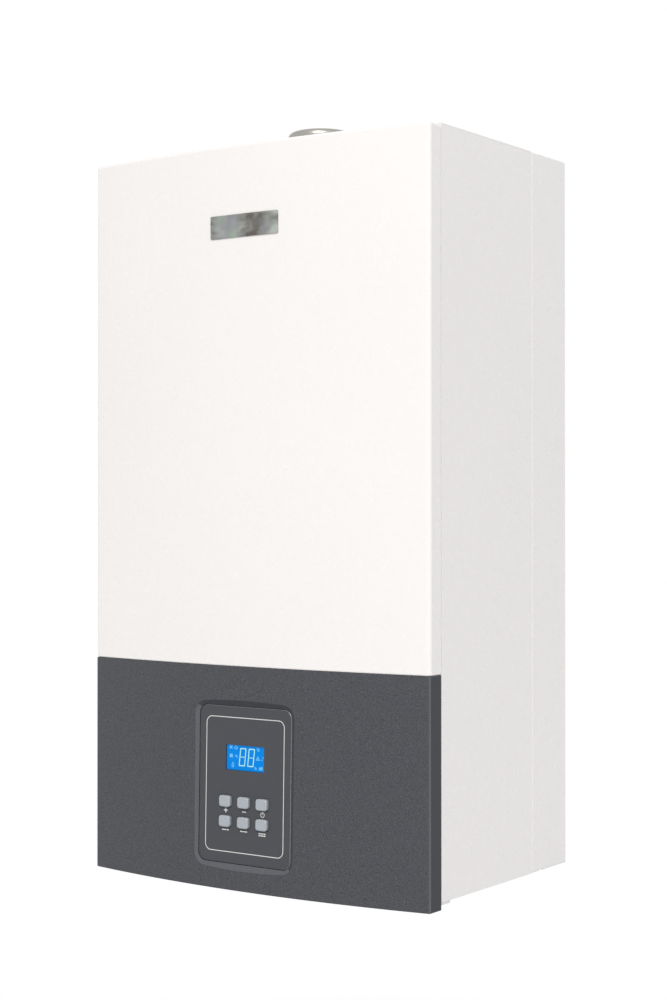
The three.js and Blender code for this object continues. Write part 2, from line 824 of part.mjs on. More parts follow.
function makeSealedChamber() {
  const tub = cut(
    block(-chamberHalf, chamberHalf, -chamberFront, chamberBack + sheet, chamberBottom, chamberTop),
    block(
      -chamberHalf + sheet, chamberHalf - sheet,
      -chamberFront - 1, chamberBack,
      chamberBottom + sheet, chamberTop - sheet,
    ),
  );
  const airHole = barZ(flueRadius + airGap, chamberTop - sheet - 1, chamberTop + 1, 0, -flueFromWall, 32);
  const passages = [
    [-heatPipeX, -pipeDepth],
    [heatPipeX, -pipeDepth],
    [0, gasBarY],
  ].map(([x, y]) => barZ(pipeRadius + 2 * seat, chamberBottom - 1, chamberBottom + sheet + 1, x, y, 16));
  add('sealed_chamber', cut(tub, airHole, ...passages), 'galvanised');
}

function makeChamberCover() {
  const back = -chamberFront - seat;
  const cover = block(-chamberHalf, chamberHalf, back - sheet, back, chamberBottom, chamberTop);
  const hole = barY(sightRadius + 2 * seat, back - sheet - 1, back + 1, 0, sightHeight);
  add('chamber_cover', cut(cover, hole), 'galvanised');

  const faceBack = back - sheet - seat;
  const glass = join(
    barY(sightRadius + sightRim, faceBack - 2 * sheet, faceBack, 0, sightHeight, 24),
    barY(sightRadius, faceBack - sheet, back + sheet, 0, sightHeight, 24),
  );
  add('sight_glass', glass, 'glass');
}

const heatPipeInset = 28;
const heatPipeX = chamberHalf - heatPipeInset;
const gasBarY = -(stackFront);
const burnerFront = -(stackFront - gasBarDepth / 2 - injectorLength - seat);
const liningInside = stackBack + sheet + seat + liningThickness;
const burnerBack = -(liningInside + seat);
const injectorHeight = burnerBottom + gasBarHeight * 0.75;
const burnerPlaces = Array.from({ length: burnerSteps }, (_, i) => (
  (i - (burnerSteps - 1) / 2) * ((2 * stackHalf - 2 * burnerBladeMargin) / burnerSteps)
));

function makeBurner() {
  const bodyHalf = stackHalf - burnerBladeMargin + burnerBladeWidth / 2;
  const body = block(
    -bodyHalf, bodyHalf, burnerFront, burnerBack, burnerBottom, burnerBottom + burnerBodyHeight,
  );
  const flange = block(
    -stackHalf, stackHalf, -stackFront, -stackBack, burnerFlangeHeight - 2 * sheet, burnerFlangeHeight,
  );
  const blades = burnerPlaces.map((x) => block(
    x - burnerBladeWidth / 2, x + burnerBladeWidth / 2,
    burnerFront, burnerBack,
    burnerBottom + burnerBodyHeight - 1, burnerFlangeHeight + burnerBladeRise,
  ));
  const mouths = burnerPlaces.map((x) => (
    barY(injectorRadius + 1, burnerFront - 1, burnerFront + gasBarDepth, x, injectorHeight, 8)
  ));
  add('burner', cut(join(body, flange, ...blades), ...mouths), 'stainless');
}

function makeGasManifold() {
  const half = burnerPlaces.at(-1) + 2 * injectorRadius;
  const barBottom = injectorHeight - gasBarHeight / 2;
  const bar = block(
    -half, half,
    gasBarY - gasBarDepth / 2 + seat, gasBarY + gasBarDepth / 2,
    barBottom, barBottom + gasBarHeight,
  );
  const injectors = burnerPlaces.map((x) => (
    barY(injectorRadius, gasBarY, gasBarY + gasBarDepth / 2 + injectorLength, x, injectorHeight, 8)
  ));
  const inlet = barZ(gasPipeRadius, chamberBottom + 2 * sheet + seat, barBottom + 1, 0, gasBarY, 16);
  add('gas_manifold', join(bar, ...injectors, inlet), 'aluminium');
}

function makeFirebox() {
  const bottom = burnerFlangeHeight + seat;
  const inner = stackHalf - sheet;
  const feetHeight = 4;
  const walls = cut(
    block(-stackHalf, stackHalf, -stackFront, -stackBack, bottom, fireboxTop),
    block(-inner, inner, -stackFront + sheet, -stackBack - sheet, bottom - 1, fireboxTop + 1),
  );
  const feet = [-1, 1].map((side) => block(
    side * stackHalf, side * (stackHalf - foldWidth * 2),
    -stackBack - sheet, chamberBack - seat,
    (bottom + fireboxTop) / 2, (bottom + fireboxTop) / 2 + feetHeight,
  ));
  const sight = barY(sightRadius, -stackFront - 1, -stackFront + sheet + 1, 0, sightHeight);
  const port = barY(
    electrodeRadius + shaftGap, -stackFront - 1, -stackFront + sheet + 1, electrodeX, electrodeHeight, 12,
  );
  add('combustion_chamber', cut(join(walls, ...feet), sight, port), 'stainless');

  const liningHalf = inner - seat;
  const liningFront = -stackFront + sheet + seat;
  const liningBack = -stackBack - sheet - seat;
  const lining = cut(
    block(-liningHalf, liningHalf, liningFront, liningBack, bottom + 1, fireboxTop - 1),
    block(
      -liningHalf + liningThickness, liningHalf - liningThickness,
      liningFront + liningThickness, liningBack - liningThickness,
      bottom, fireboxTop,
    ),
    barY(sightRadius, liningFront - 1, liningFront + liningThickness + 1, 0, sightHeight),
    barY(
      electrodeRadius + shaftGap, liningFront - 1,
      liningFront + liningThickness + 1, electrodeX, electrodeHeight, 12,
    ),
  );
  add('insulation_lining', lining, 'fibre');
}

const electrodeX = 70;
const electrodeRise = 25;
const electrodeHeight = burnerFlangeHeight + electrodeRise;
const electrodeRadius = 3.5;
const electrodeTip = 1.2;

function makeElectrode() {
  const flangeBack = -stackFront - seat;
  const body = join(
    barY(
      electrodeRadius, flangeBack - 3 * sheet,
      -stackFront + liningThickness, electrodeX, electrodeHeight, 12,
    ),
    block(
      electrodeX - 3 * electrodeRadius, electrodeX + 3 * electrodeRadius,
      flangeBack - sheet, flangeBack,
      electrodeHeight - 2 * electrodeRadius, electrodeHeight + 2 * electrodeRadius,
    ),
    barY(electrodeTip, -stackFront, -stackFront + 3 * liningThickness, electrodeX, electrodeHeight, 8),
  );
  add('ignition_electrode', body, 'ceramic');
}

const exchangerBottom = fireboxTop + seat;
const exchangerTop = exchangerBottom + exchangerHeight;
const exchangerPortTop = exchangerBottom + exchangerHeight / 2 + exchangerTube / 2;
const exchangerPortBottom = exchangerPortTop - 2.5 * pipeRadius;

function makeHeatExchanger() {
  let core = block(-stackHalf, stackHalf, -stackFront, -stackBack, exchangerBottom, exchangerTop);
  const finCount = Math.floor((2 * stackHalf - 2 * foldWidth) / exchangerFinPitch);
  for (let i = 0; i < finCount; i++) {
    const x = (i - (finCount - 1) / 2) * exchangerFinPitch;
    core = cut(core, block(
      x - exchangerFinGap / 2, x + exchangerFinGap / 2,
      -stackFront + foldWidth, -stackBack - foldWidth,
      exchangerBottom - 1, exchangerTop + 1,
    ));
  }
  const reach = heatPipeX + pipeRadius;
  const rows = [0, 1, 2].map((row) => -pipeDepth - row * (stackFront - pipeDepth - 2 * foldWidth) / 2);
  const headerHalf = stackHalf + 1.2 * pipeRadius;
  const tubes = rows.slice(1).map(
    (y) => barX(exchangerTube, -headerHalf, headerHalf, y, exchangerPortTop, 10),
  );
  const header = block(
    -headerHalf, -headerHalf + pipeRadius / 2,
    rows.at(-1), rows[0],
    exchangerPortTop - exchangerTube / 2, exchangerPortTop + exchangerTube / 2,
  );
  const otherHeader = header.mirror([1, 0, 0]);
  const ports = [
    barX(pipeRadius, -reach, reach, -pipeDepth, exchangerPortTop, 12),
    barZ(pipeRadius, exchangerPortBottom, exchangerPortTop, -heatPipeX, -pipeDepth, 16),
    barZ(pipeRadius, exchangerPortBottom, exchangerPortTop, heatPipeX, -pipeDepth, 16),
  ];
  add('heat_exchanger', join(core, ...tubes, header, otherHeader, ...ports), 'copper');
}

const fanFront = -flueFromWall - fanDepth / 2;
const fanBack = fanFront + fanDepth;
const ductDepth = 20;
const ductMargin = 10;
const bladeInset = 3;
const bladeAngle = 0.5;

function makeFlueHood() {
  const low = exchangerTop + seat;
  const ductHalf = fanEye + ductMargin;
  const ductFront = fanBack + seat;
  const ductBack = ductFront + ductDepth;
  const lowOuter = [-stackHalf, stackHalf, -stackFront, -stackBack];
  const highOuter = [-fanOffset - ductHalf, fanOutletHalf + ductHalf, fanFront, ductBack];
  const shrink = ([x0, x1, y0, y1]) => [x0 + sheet, x1 - sheet, y0 + sheet, y1 - sheet];
  const duct = block(
    -fanOffset - ductHalf, -fanOffset + ductHalf, ductFront, ductBack, hoodTop - sheet, fanOutletTop,
  );
  const ductHollow = block(
    -fanOffset - ductHalf + sheet, -fanOffset + ductHalf - sheet,
    ductFront + sheet, ductBack - sheet,
    hoodTop - 3 * sheet, fanOutletTop - sheet,
  );
  const eye = barY(fanEye, ductFront - 1, ductFront + sheet + 1, -fanOffset, fanCentreHeight);
  const hood = cut(
    join(funnel(lowOuter, low, highOuter, hoodTop), duct),
    funnel(shrink(lowOuter), low - 1, shrink(highOuter), hoodTop - sheet),
    ductHollow, eye,
  );
  add('flue_hood', hood, 'aluminium');
}

function makeFan() {
  const outletWall = fanOutletHalf - fanWall;
  const scroll = cut(
    join(
      barY(fanRadius, fanFront, fanBack, -fanOffset, fanCentreHeight, 36),
      block(-fanOutletHalf, fanOutletHalf, fanFront, fanBack, fanCentreHeight, fanOutletTop),
    ),
    barY(fanRadius - fanWall, fanFront + fanWall, fanBack - fanWall, -fanOffset, fanCentreHeight, 36),
    block(
      -outletWall, outletWall,
      fanFront + fanWall, fanBack - fanWall,
      fanCentreHeight, fanOutletTop + 1,
    ),
    barY(fanEye, fanBack - fanWall - 1, fanBack + 1, -fanOffset, fanCentreHeight, 24),
    barY(shaftRadius + shaftGap, fanFront - 1, fanFront + fanWall + 1, -fanOffset, fanCentreHeight, 14),
  );
  add('fan_housing', scroll, 'aluminium');

  const wheelRadius = fanRadius - fanWall - impellerGap;
  const plateFront = fanFront + fanWall + impellerGap / 2;
  const wheelBack = fanBack - fanWall - impellerGap / 2;
  const inner = fanEye + bladeInset;
  let wheel = join(
    barY(wheelRadius, plateFront, plateFront + sheet, -fanOffset, fanCentreHeight, 28),
    barY(3 * shaftRadius, plateFront, plateFront + fanDepth / 2, -fanOffset, fanCentreHeight, 16),
    barY(shaftRadius, fanFront - fanMotorLength / 2, plateFront + 1, -fanOffset, fanCentreHeight, 14),
  );
  const shroud = cut(
    barY(wheelRadius, wheelBack - sheet, wheelBack, -fanOffset, fanCentreHeight, 28),
    barY(inner, wheelBack - sheet - 1, wheelBack + 1, -fanOffset, fanCentreHeight, 24),
  );
  wheel = join(wheel, shroud);
  for (let i = 0; i < impellerBlades; i++) {
    const blade = new THREE.BoxGeometry(wheelRadius - inner, wheelBack - plateFront, sheet);
    blade.rotateY(bladeAngle);
    blade.translate((wheelRadius + inner) / 2 - 1, (wheelBack + plateFront) / 2, 0);
    blade.rotateY((i * 2 * Math.PI) / impellerBlades);
    blade.translate(-fanOffset, 0, fanCentreHeight);
    wheel = join(wheel, solid(blade));
  }
  add('fan_impeller', wheel, 'aluminium');

  const motorBack = fanFront - seat;
  const motor = cut(
    join(
      barY(fanMotorRadius, motorBack - fanMotorLength, motorBack, -fanOffset, fanCentreHeight, 24),
      barY(
        3 * shaftRadius, motorBack - fanMotorLength - 2 * sheet, motorBack, -fanOffset, fanCentreHeight, 16,
      ),
    ),
    barY(
      shaftRadius + shaftGap, motorBack - fanMotorLength / 2 - runningGap,
      motorBack + 1, -fanOffset, fanCentreHeight, 14,
    ),
  );
  add('fan_motor', motor, 'castIron');
}

function makeFlueCollar() {
  const bottom = fanOutletTop + seat;
  const top = bodyTop + flueRise;
  const bore = flueRadius - flueWall;
  const beadCentre = flueRadius - flueBead;
  const lip = bore - flueWall;
  const outline = [[bore, bottom], [flueRadius, bottom], [flueRadius, top - flueBead]];
  for (const angle of [30, 60, 90]) {
    const turn = THREE.MathUtils.degToRad(angle);
    outline.push([beadCentre + flueBead * Math.cos(turn), top - flueBead + flueBead * Math.sin(turn)]);
  }
  outline.push([lip, top - flueWall / 2], [bore, top - 2 * flueBead], [bore, bottom]);
  const flangeHalf = flueRadius + seat;
  const flange = cut(
    block(
      -flangeHalf, flangeHalf,
      -flueFromWall - flangeHalf, -flueFromWall + flangeHalf,
      bottom, bottom + 2 * sheet,
    ),
    barZ((bore + flueRadius) / 2, bottom - 1, bottom + 2 * sheet + 1, 0, -flueFromWall, 32),
  );
  add('flue_collar', join(turned(outline, 0, -flueFromWall, 32), flange), 'stainless');
}

const switchX = 118;
const switchDrop = 60;
const switchHeight = chamberTop - switchDrop;
const switchRadius = 27;
const switchDepth = 23;
const switchSpout = 10;

function makeAirSwitch() {
  const back = chamberBack - seat;
  const body = join(
    barY(switchRadius, back - switchDepth, back, switchX, switchHeight, 24),
    barY(switchRadius / 2, back - switchDepth - switchSpout, back, switchX, switchHeight, 16),
    barX(
      injectorRadius, switchX - switchRadius - switchSpout,
      switchX, back - switchDepth / 2, switchHeight, 10,
    ),
  );
  add('air_pressure_switch', body, 'greyPlastic');
}

// ---- hydraulics and gas ----

const gasPipeRadius = 7;
const valveFront = 158;
const valveBack = 82;
const coilRadius = 14;
const coilLength = 22;
const gasPipeDepth = 140;
const gasPipeBend = 16;
const gasPipeDrop = 8;
const gasPipeRise = 22;
const valveBoss = 4;
const valveBossRise = 6;

function makeTail({ name, x, radius }) {
  const nutTop = trayUnder - seat;
  const collarBottom = trayTop + seat;
  const top = x === 0 ? valveBottom - seat : groupHeight - groupRadius - seat;
  const nut = new THREE.CylinderGeometry(radius + tailNutRim, radius + tailNutRim, tailNutHeight, 6);
  nut.rotateX(Math.PI / 2);
  nut.translate(x, -pipeDepth, nutTop - tailNutHeight / 2);
  const body = join(
    barZ(radius, -tailBottom, top, x, -pipeDepth, 20),
    solid(nut),
    barZ(radius + tailWall, collarBottom, collarBottom + tailNutHeight, x, -pipeDepth, 20),
  );
  const bore = barZ(radius - tailWall, -tailBottom - 1, -tailBottom + tailBore, x, -pipeDepth, 20);
  add(name, cut(body, bore), 'brass');
}

const exchangerPlateBack = 16;
const portEnd = groupRadius - pipeDepth;
const groupOverhang = 14;
const groupEnd = heatPipeX + groupOverhang;
const grooveDepth = 2;

function makeFlowGroup() {
  const flow = tails[0].x;
  const hot = tails[1].x;
  const bottom = groupHeight - groupRadius;
  const body = join(
    barX(groupRadius, -groupEnd, hot + groupRadius, -pipeDepth, groupHeight, 24),
    barZ(wideTailRadius + tailWall, bottom, groupHeight, flow, -pipeDepth),
    barZ(narrowTailRadius + tailWall, bottom, groupHeight, hot, -pipeDepth),
    barZ(pipeRadius + tailWall, groupHeight, risersTop, -heatPipeX, -pipeDepth),
    barZ(groupRadius - 1, groupHeight, diverterTop, diverterX, -pipeDepth, 24),
    barY(
      portRadius + portWall, -pipeDepth, portEnd, -exchangerPorts, groupHeight - exchangerPortPitch / 2, 16,
    ),
    barY(
      portRadius + portWall, -pipeDepth, portEnd, -exchangerPorts, groupHeight + exchangerPortPitch / 2, 16,
    ),
  );
  const bore = barZ(
    spindleRadius + spindleGap, spindleBottom - runningGap, diverterTop + 1, diverterX, -pipeDepth, 16,
  );
  add('flow_group', cut(body, bore), 'brass');
}

const risersTop = 105;
const diverterTop = 112;
const spindleBottom = 78;
const diverterMotorHeight = 48;
const diverterMotorRadius = 20;
const spindleEntry = 10;
const diverterCoverDepth = 6;
const diverterCoverInset = 8;

function makeDiverter() {
  const motorBottom = diverterTop + seat;
  const motor = cut(
    join(
      barZ(diverterMotorRadius, motorBottom, motorBottom + diverterMotorHeight, diverterX, -pipeDepth, 24),
      block(
        diverterX - diverterMotorRadius, diverterX + diverterMotorRadius,
        -pipeDepth - diverterMotorRadius - diverterCoverDepth, -pipeDepth,
        motorBottom + diverterCoverInset, motorBottom + diverterMotorHeight - diverterCoverInset,
      ),
    ),
    barZ(
      spindleRadius + spindleGap, motorBottom - 1, motorBottom + spindleEntry + diverterTravel + runningGap,
      diverterX, -pipeDepth, 16,
    ),
  );
  add('diverter_motor', motor, 'greyPlastic');
  add(
    'diverter_spindle',
    barZ(spindleRadius, spindleBottom, motorBottom + spindleEntry, diverterX, -pipeDepth, 16),
    'stainless',
  );
}

const safetyInset = 12;
const safetyX = groupEnd - safetyInset;
const safetyRadius = 11;
const safetyLength = 28;
const safetyKnobRadius = 12;
const safetyKnobLength = 15;
const fillingBossHeight = 50;
const fillingBossRadius = 9;
const fillingBossRise = 10;
const fillingKnobHeight = 8;
const fillingGripHeight = 10;
const gripHalf = 3;
const pumpSpigot = 4;
const safetySpigot = 4;
const safetyOutletDrop = 32;

function makeReturnGroup() {
  const cold = tails[3].x;
  const back = tails[4].x;
  const bottom = groupHeight - groupRadius;
  const stemTop = trayTop + fillingBossRise;
  const body = join(
    barX(groupRadius, cold - groupRadius, groupEnd, -pipeDepth, groupHeight, 24),
    barZ(narrowTailRadius + tailWall, bottom, groupHeight, cold, -pipeDepth),
    barZ(wideTailRadius + tailWall, bottom, groupHeight, back, -pipeDepth),
    barZ(pipeRadius + 2 * tailWall, groupHeight, pumpHeight - pumpRadius - pumpSpigot, pumpX, -pipeDepth),
    barY(
      portRadius + portWall, -pipeDepth, portEnd, exchangerPorts, groupHeight - exchangerPortPitch / 2, 16,
    ),
    barY(
      portRadius + portWall, -pipeDepth, portEnd, exchangerPorts, groupHeight + exchangerPortPitch / 2, 16,
    ),
    barY(
      fillingBossRadius, -fillingDepth - fillingBossRadius, -pipeDepth, fillingX, fillingBossHeight, 16,
    ),
    barZ(fillingBossRadius, stemTop, fillingBossHeight, fillingX, -fillingDepth, 16),
    barY(safetyRadius - 1, -pipeDepth - groupRadius - safetySpigot, -pipeDepth, safetyX, groupHeight, 16),
  );
  add('return_group', body, 'brass');

  const knobTop = bodyBottom - runningGap;
  const gripTop = knobTop - fillingKnobHeight + 1;
  const knob = join(
    barZ(fillingStem, knobTop - 1, stemTop - seat, fillingX, -fillingDepth, 14),
    barZ(fillingKnobRadius, knobTop - fillingKnobHeight, knobTop, fillingX, -fillingDepth, 18),
    block(
      fillingX - fillingKnobRadius * 0.9, fillingX + fillingKnobRadius * 0.9,
      -fillingDepth - gripHalf, -fillingDepth + gripHalf,
      gripTop - fillingGripHeight, gripTop,
    ),
  );
  add('filling_knob', knob, 'bluePlastic');
}

function makeSafetyValve() {
  const start = -pipeDepth - groupRadius - safetySpigot - seat;
  const end = start - safetyLength;
  const body = join(
    barY(safetyRadius, end, start, safetyX, groupHeight, 18),
    barZ(
      safetyRadius / 2, groupHeight - safetyOutletDrop, groupHeight, safetyX, start - safetyLength / 2, 14,
    ),
  );
  add('safety_valve', body, 'brass');
  const knobBack = end - seat;
  const grip = join(
    barY(safetyKnobRadius, knobBack - safetyKnobLength * 0.6, knobBack, safetyX, groupHeight, 18),
    block(
      safetyX - safetyKnobRadius * 0.9, safetyX + safetyKnobRadius * 0.9,
      knobBack - safetyKnobLength, knobBack - safetyKnobLength * 0.5,
      groupHeight - gripHalf, groupHeight + gripHalf,
    ),
  );
  add('safety_valve_knob', grip, 'redPlastic');
}

const pumpBack = pumpBodyDepth / 2 - pipeDepth;
const pumpFront = pumpBack - pumpBodyDepth;
const pumpOutletOffset = 24;
const pumpOutletX = pumpX - pumpOutletOffset;
const pumpOutletRise = 8;
const pumpOutletTop = pumpHeight + pumpRadius + pumpOutletRise;
const ventOffset = 26;
const ventX = pumpX + ventOffset;
const ventRise = 12;
const ventBottom = pumpHeight + pumpRadius + ventRise;
const ventRadius = 16;
const ventHeadroom = 52;
const ventTop = chamberBottom - ventHeadroom;
const rotorGap = 2;
const ventNeck = 6;
const ventShoulder = 10;
const ventCapRadius = 6;
const terminalHalf = 28;
const terminalRise = 8;
const terminalFront = 6;
const terminalBack = 12;
const rotorPlate = 3;
const rotorBlade = 2;
const rotorBladeAngle = 0.6;

function makePump() {
  const cavityRadius = pumpRadius - pumpWall;
  const vesselJointTop = pumpBack + pumpWall;
  const body = cut(
    join(
      barY(pumpRadius, pumpFront, pumpBack, pumpX, pumpHeight, 28),
      barZ(
        pipeRadius + 2 * tailWall,
        pumpHeight - pumpRadius - pumpSpigot + seat, pumpHeight, pumpX, -pipeDepth,
      ),
      barZ(pipeRadius + tailWall, pumpHeight, pumpOutletTop, pumpOutletX, -pipeDepth),
      barZ(pipeRadius, pumpHeight, ventBottom, ventX, -pipeDepth, 16),
      barY(vesselPipeRadius + vesselStubWall, pumpBack - 1, vesselJointTop, vesselPipeX, pumpHeight, 14),
    ),
    barY(cavityRadius, pumpFront - 1, pumpBack - pumpWall, pumpX, pumpHeight, 28),
  );
  add('pump_body', body, 'castIron');

  const wheelRadius = cavityRadius - rotorGap;
  const wheelFront = pumpFront + rotorGap * 2;
  const wheelBack = pumpBack - pumpWall - rotorGap;
  let rotor = join(
    barY(wheelRadius, wheelFront, wheelFront + rotorPlate, pumpX, pumpHeight, 24),
    barY(spindleRadius, pumpFront - pumpMotorLength / 4, wheelBack, pumpX, pumpHeight, 14),
    barY(3 * spindleRadius, wheelFront, wheelBack, pumpX, pumpHeight, 16),
  );
  for (let i = 0; i < 6; i++) {
    const blade = new THREE.BoxGeometry(wheelRadius * 0.66, wheelBack - wheelFront, rotorBlade);
    blade.rotateY(rotorBladeAngle);
    blade.translate(wheelRadius * 0.6, (wheelBack + wheelFront) / 2, 0);
    blade.rotateY((i * Math.PI) / 3);
    blade.translate(pumpX, 0, pumpHeight);
    rotor = join(rotor, solid(blade));
  }
  add('pump_rotor', rotor, 'greyPlastic');

  const motorBack = pumpFront - seat;
  const motor = cut(
    join(
      barY(pumpRadius - 2, motorBack - pumpMotorLength, motorBack, pumpX, pumpHeight, 28),
      block(
        pumpX - terminalHalf, pumpX + terminalHalf,
        motorBack - pumpMotorLength + terminalFront, motorBack - terminalBack,
        pumpHeight, pumpHeight + pumpRadius + terminalRise,
      ),
    ),
    barY(
      spindleRadius + spindleGap, motorBack - pumpMotorLength / 4 - runningGap,
      motorBack + 1, pumpX, pumpHeight, 16,
    ),
  );
  add('pump_motor', motor, 'redPaint');

  const vent = turned(
    [
      [0, ventBottom + seat], [pipeRadius, ventBottom + seat], [pipeRadius, ventBottom + ventNeck],
      [ventRadius, ventBottom + ventShoulder], [ventRadius, ventTop - ventShoulder],
      [ventCapRadius, ventTop - ventNeck], [ventCapRadius, ventTop], [0, ventTop],
    ],
    ventX, -pipeDepth, 20,
  );
  add('air_vent', vent, 'brass');
}

function makePlateExchanger() {
  const half = exchangerPlateWidth / 2;
  const back = -exchangerPlateBack;
  const front = back - exchangerPlateDepth;
  const low = groupHeight - exchangerPlateHeight / 2;
  let pack = block(-half, half, front, back, low, low + exchangerPlateHeight);
  const grooves = 9;
  for (let i = 1; i < grooves; i++) {
    const y = front + (exchangerPlateDepth * i) / grooves;
    for (const side of [-1, 1]) {
      pack = cut(pack, block(
        side * half, side * (half - grooveDepth),
        y - grooveDepth / 2, y + grooveDepth / 2,
        low - 1, low + exchangerPlateHeight + 1,
      ));
    }
  }
  for (const side of [-1, 1]) {
    for (const rise of [-1, 1]) {
      const z = groupHeight + (rise * exchangerPortPitch) / 2;
      pack = join(pack, barY(portRadius, portEnd + seat, front + 1, side * exchangerPorts, z, 16));
    }
  }
  add('plate_heat_exchanger', pack, 'stainless');
}

function makeGasValve() {
  const top = valveBottom + valveHeight;
  const half = valveWidth / 2;
  const coils = [-1, 1].map((side) => (
    barY(
      coilRadius, -valveFront - coilLength, -valveFront,
      (side * half) / 2, valveBottom + valveHeight / 2, 18,
    )
  ));
  const body = join(
    block(-half, half, -valveFront, -valveBack, valveBottom, top),
    barZ(gasPipeRadius + valveBoss, top - 1, top + valveBossRise, 0, -gasPipeDepth, 16),
    ...coils,
  );
  add('gas_valve', body, 'aluminium');
  const start = top + valveBossRise + seat;
  const end = chamberBottom + 2 * sheet;
  const turnHeight = (start + end) / 2;
  const gasPipe = pipe(
    [
      [0, -gasPipeDepth, start],
      [0, -gasPipeDepth, turnHeight - gasPipeDrop],
      [0, gasBarY, turnHeight + gasPipeRise],
      [0, gasBarY, end],
    ],
    gasPipeRadius, gasPipeBend,
  );
  add('gas_pipe', gasPipe, 'aluminium');
}

const vesselPipeOffset = 15;
const vesselPipeX = pumpX + vesselPipeOffset;
const vesselStubInset = 20;
const vesselStubX = vesselWidth / 2 - vesselStubInset;
const vesselPipeDepth = 40;
const vesselPipeBend = 34;
const bendRadius = 12;

function makeExpansionVessel() {
  const back = backPlateFace - seat;
  const centre = (vesselBottom + vesselTop) / 2;
  const height = vesselTop - vesselBottom;
  const stubBottom = vesselBottom - vesselStubDrop;
  const body = join(
    slab(roundedRectangle(0, centre, vesselWidth, height, vesselRadius), back - vesselDepth, back, 6),
    barZ(
      vesselPipeRadius + vesselStubWall, stubBottom,
      vesselBottom + vesselStubDrop, vesselStubX, -vesselPipeDepth, 14,
    ),
  );
  const hollow = slab(
    roundedRectangle(
      0, centre, vesselWidth - 2 * vesselWall, height - 2 * vesselWall, vesselRadius - vesselWall,
    ),
    back - vesselDepth + vesselWall, back - vesselWall, 6,
  );
  const bore = barZ(
    vesselPipeRadius - vesselWall, stubBottom - 1,
    vesselBottom + vesselStubDrop + 1, vesselStubX, -vesselPipeDepth, 14,
  );
  add('expansion_vessel', cut(body, hollow, bore), 'redPaint');
  const tube = pipe(
    [
      [vesselStubX, -vesselPipeDepth, stubBottom - seat],
      [vesselStubX, -vesselPipeDepth, pumpHeight + vesselPipeBend],
      [vesselPipeX, -vesselPipeDepth, pumpHeight],
      [vesselPipeX, pumpBack + pumpWall + seat, pumpHeight],
    ],
    vesselPipeRadius, bendRadius,
  );
  add('vessel_pipe', tube, 'copper');
}

const heatPipeBend = 20;

function makeHeatPipes() {
  const top = exchangerPortBottom - seat;
  const flow = barZ(pipeRadius, risersTop + seat, top, -heatPipeX, -pipeDepth, 14);
  add('flow_pipe', flow, 'copper');
  const crossing = ventTop + 2 * pipeRadius + ventNeck;
  const back = pipe(
    [
      [pumpOutletX, -pipeDepth, pumpOutletTop + seat],
      [pumpOutletX, -pipeDepth, crossing],
      [heatPipeX, -pipeDepth, crossing],
      [heatPipeX, -pipeDepth, top],
    ],
    pipeRadius, heatPipeBend,
  );
  add('return_pipe', back, 'copper');
}

const glandRim = 4;
const glandDrop = 14;
const lockNutHeight = 3;

function makeCableGland() {
  const hex = (bottom, top) => {
    const nut = new THREE.CylinderGeometry(glandRadius + glandRim, glandRadius + glandRim, top - bottom, 6);
    nut.rotateX(Math.PI / 2);
    nut.translate(glandX, -glandDepth, (bottom + top) / 2);
    return solid(nut);
  };
  const body = join(
    barZ(glandRadius, trayUnder - glandDrop, trayTop + glandRim, glandX, -glandDepth, 16),
    hex(trayUnder - seat - tailNutHeight, trayUnder - seat),
    hex(trayTop + seat, trayTop + seat + lockNutHeight),
  );
  const bore = barZ(
    glandRadius / 2, trayUnder - glandDrop - 1, trayTop + glandRim + 1, glandX, -glandDepth, 12,
  );
  add('cable_gland', cut(body, bore), 'blackPlastic');
}

// ---- assembly ----

makeRearFrame();
makeWallBracket();
makeSidePanel('side_panel_left', -1);
makeSidePanel('side_panel_right', 1);
makeTopPanel();
makeBottomPanel();
makeFrontPanel();
makeNameplate();

makeFascia();
makeHingeBracket('hinge_bracket_left', -1);
makeHingeBracket('hinge_bracket_right', 1);
makeControlBox();
makeControlPlate();
makeDisplay();
makeCircuitBoard();
buttonPlaces.forEach(makeButton);
controls.rotation.x = -fasciaTilt;
controls.position.set(0, recessSurface, recessCentreHeight);

makeSealedChamber();
makeChamberCover();
makeBurner();
makeGasManifold();
makeFirebox();
makeElectrode();
makeHeatExchanger();
makeFlueHood();
makeFan();
makeFlueCollar();
makeAirSwitch();

tails.forEach(makeTail);
makeFlowGroup();
makeDiverter();
makeReturnGroup();
makeSafetyValve();
makePump();
makePlateExchanger();
makeGasValve();
makeExpansionVessel();
makeHeatPipes();
makeCableGland();

// the origin is the middle of the wall bracket's back face
boiler.position.z = -bracketCentre;

export default boiler;
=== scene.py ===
import math

import bmesh
import bpy
from mathutils import Matrix, Vector


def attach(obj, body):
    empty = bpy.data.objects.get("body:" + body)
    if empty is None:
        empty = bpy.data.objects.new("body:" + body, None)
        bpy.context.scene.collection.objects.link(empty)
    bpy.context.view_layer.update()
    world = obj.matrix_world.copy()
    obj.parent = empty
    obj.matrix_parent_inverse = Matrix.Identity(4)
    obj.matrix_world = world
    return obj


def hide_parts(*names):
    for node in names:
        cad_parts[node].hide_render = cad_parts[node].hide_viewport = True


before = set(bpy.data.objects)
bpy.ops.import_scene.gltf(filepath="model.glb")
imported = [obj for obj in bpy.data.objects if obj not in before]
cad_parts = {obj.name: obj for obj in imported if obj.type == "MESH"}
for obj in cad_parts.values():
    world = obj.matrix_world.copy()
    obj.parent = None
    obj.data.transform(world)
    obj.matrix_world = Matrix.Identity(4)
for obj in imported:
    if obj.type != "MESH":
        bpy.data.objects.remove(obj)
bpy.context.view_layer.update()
print("frame loaded,", len(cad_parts), "nodes")

# Everything below is drawn in millimetres: x to the right, y 0 on the wall and negative to the front,
# z counted from the fascia's lower edge. finishPiece turns it into the frame's metres.
hangHeight = 665
toFrame = Matrix.Scale(0.001, 4) @ Matrix.Translation((0, 0, -hangHeight))

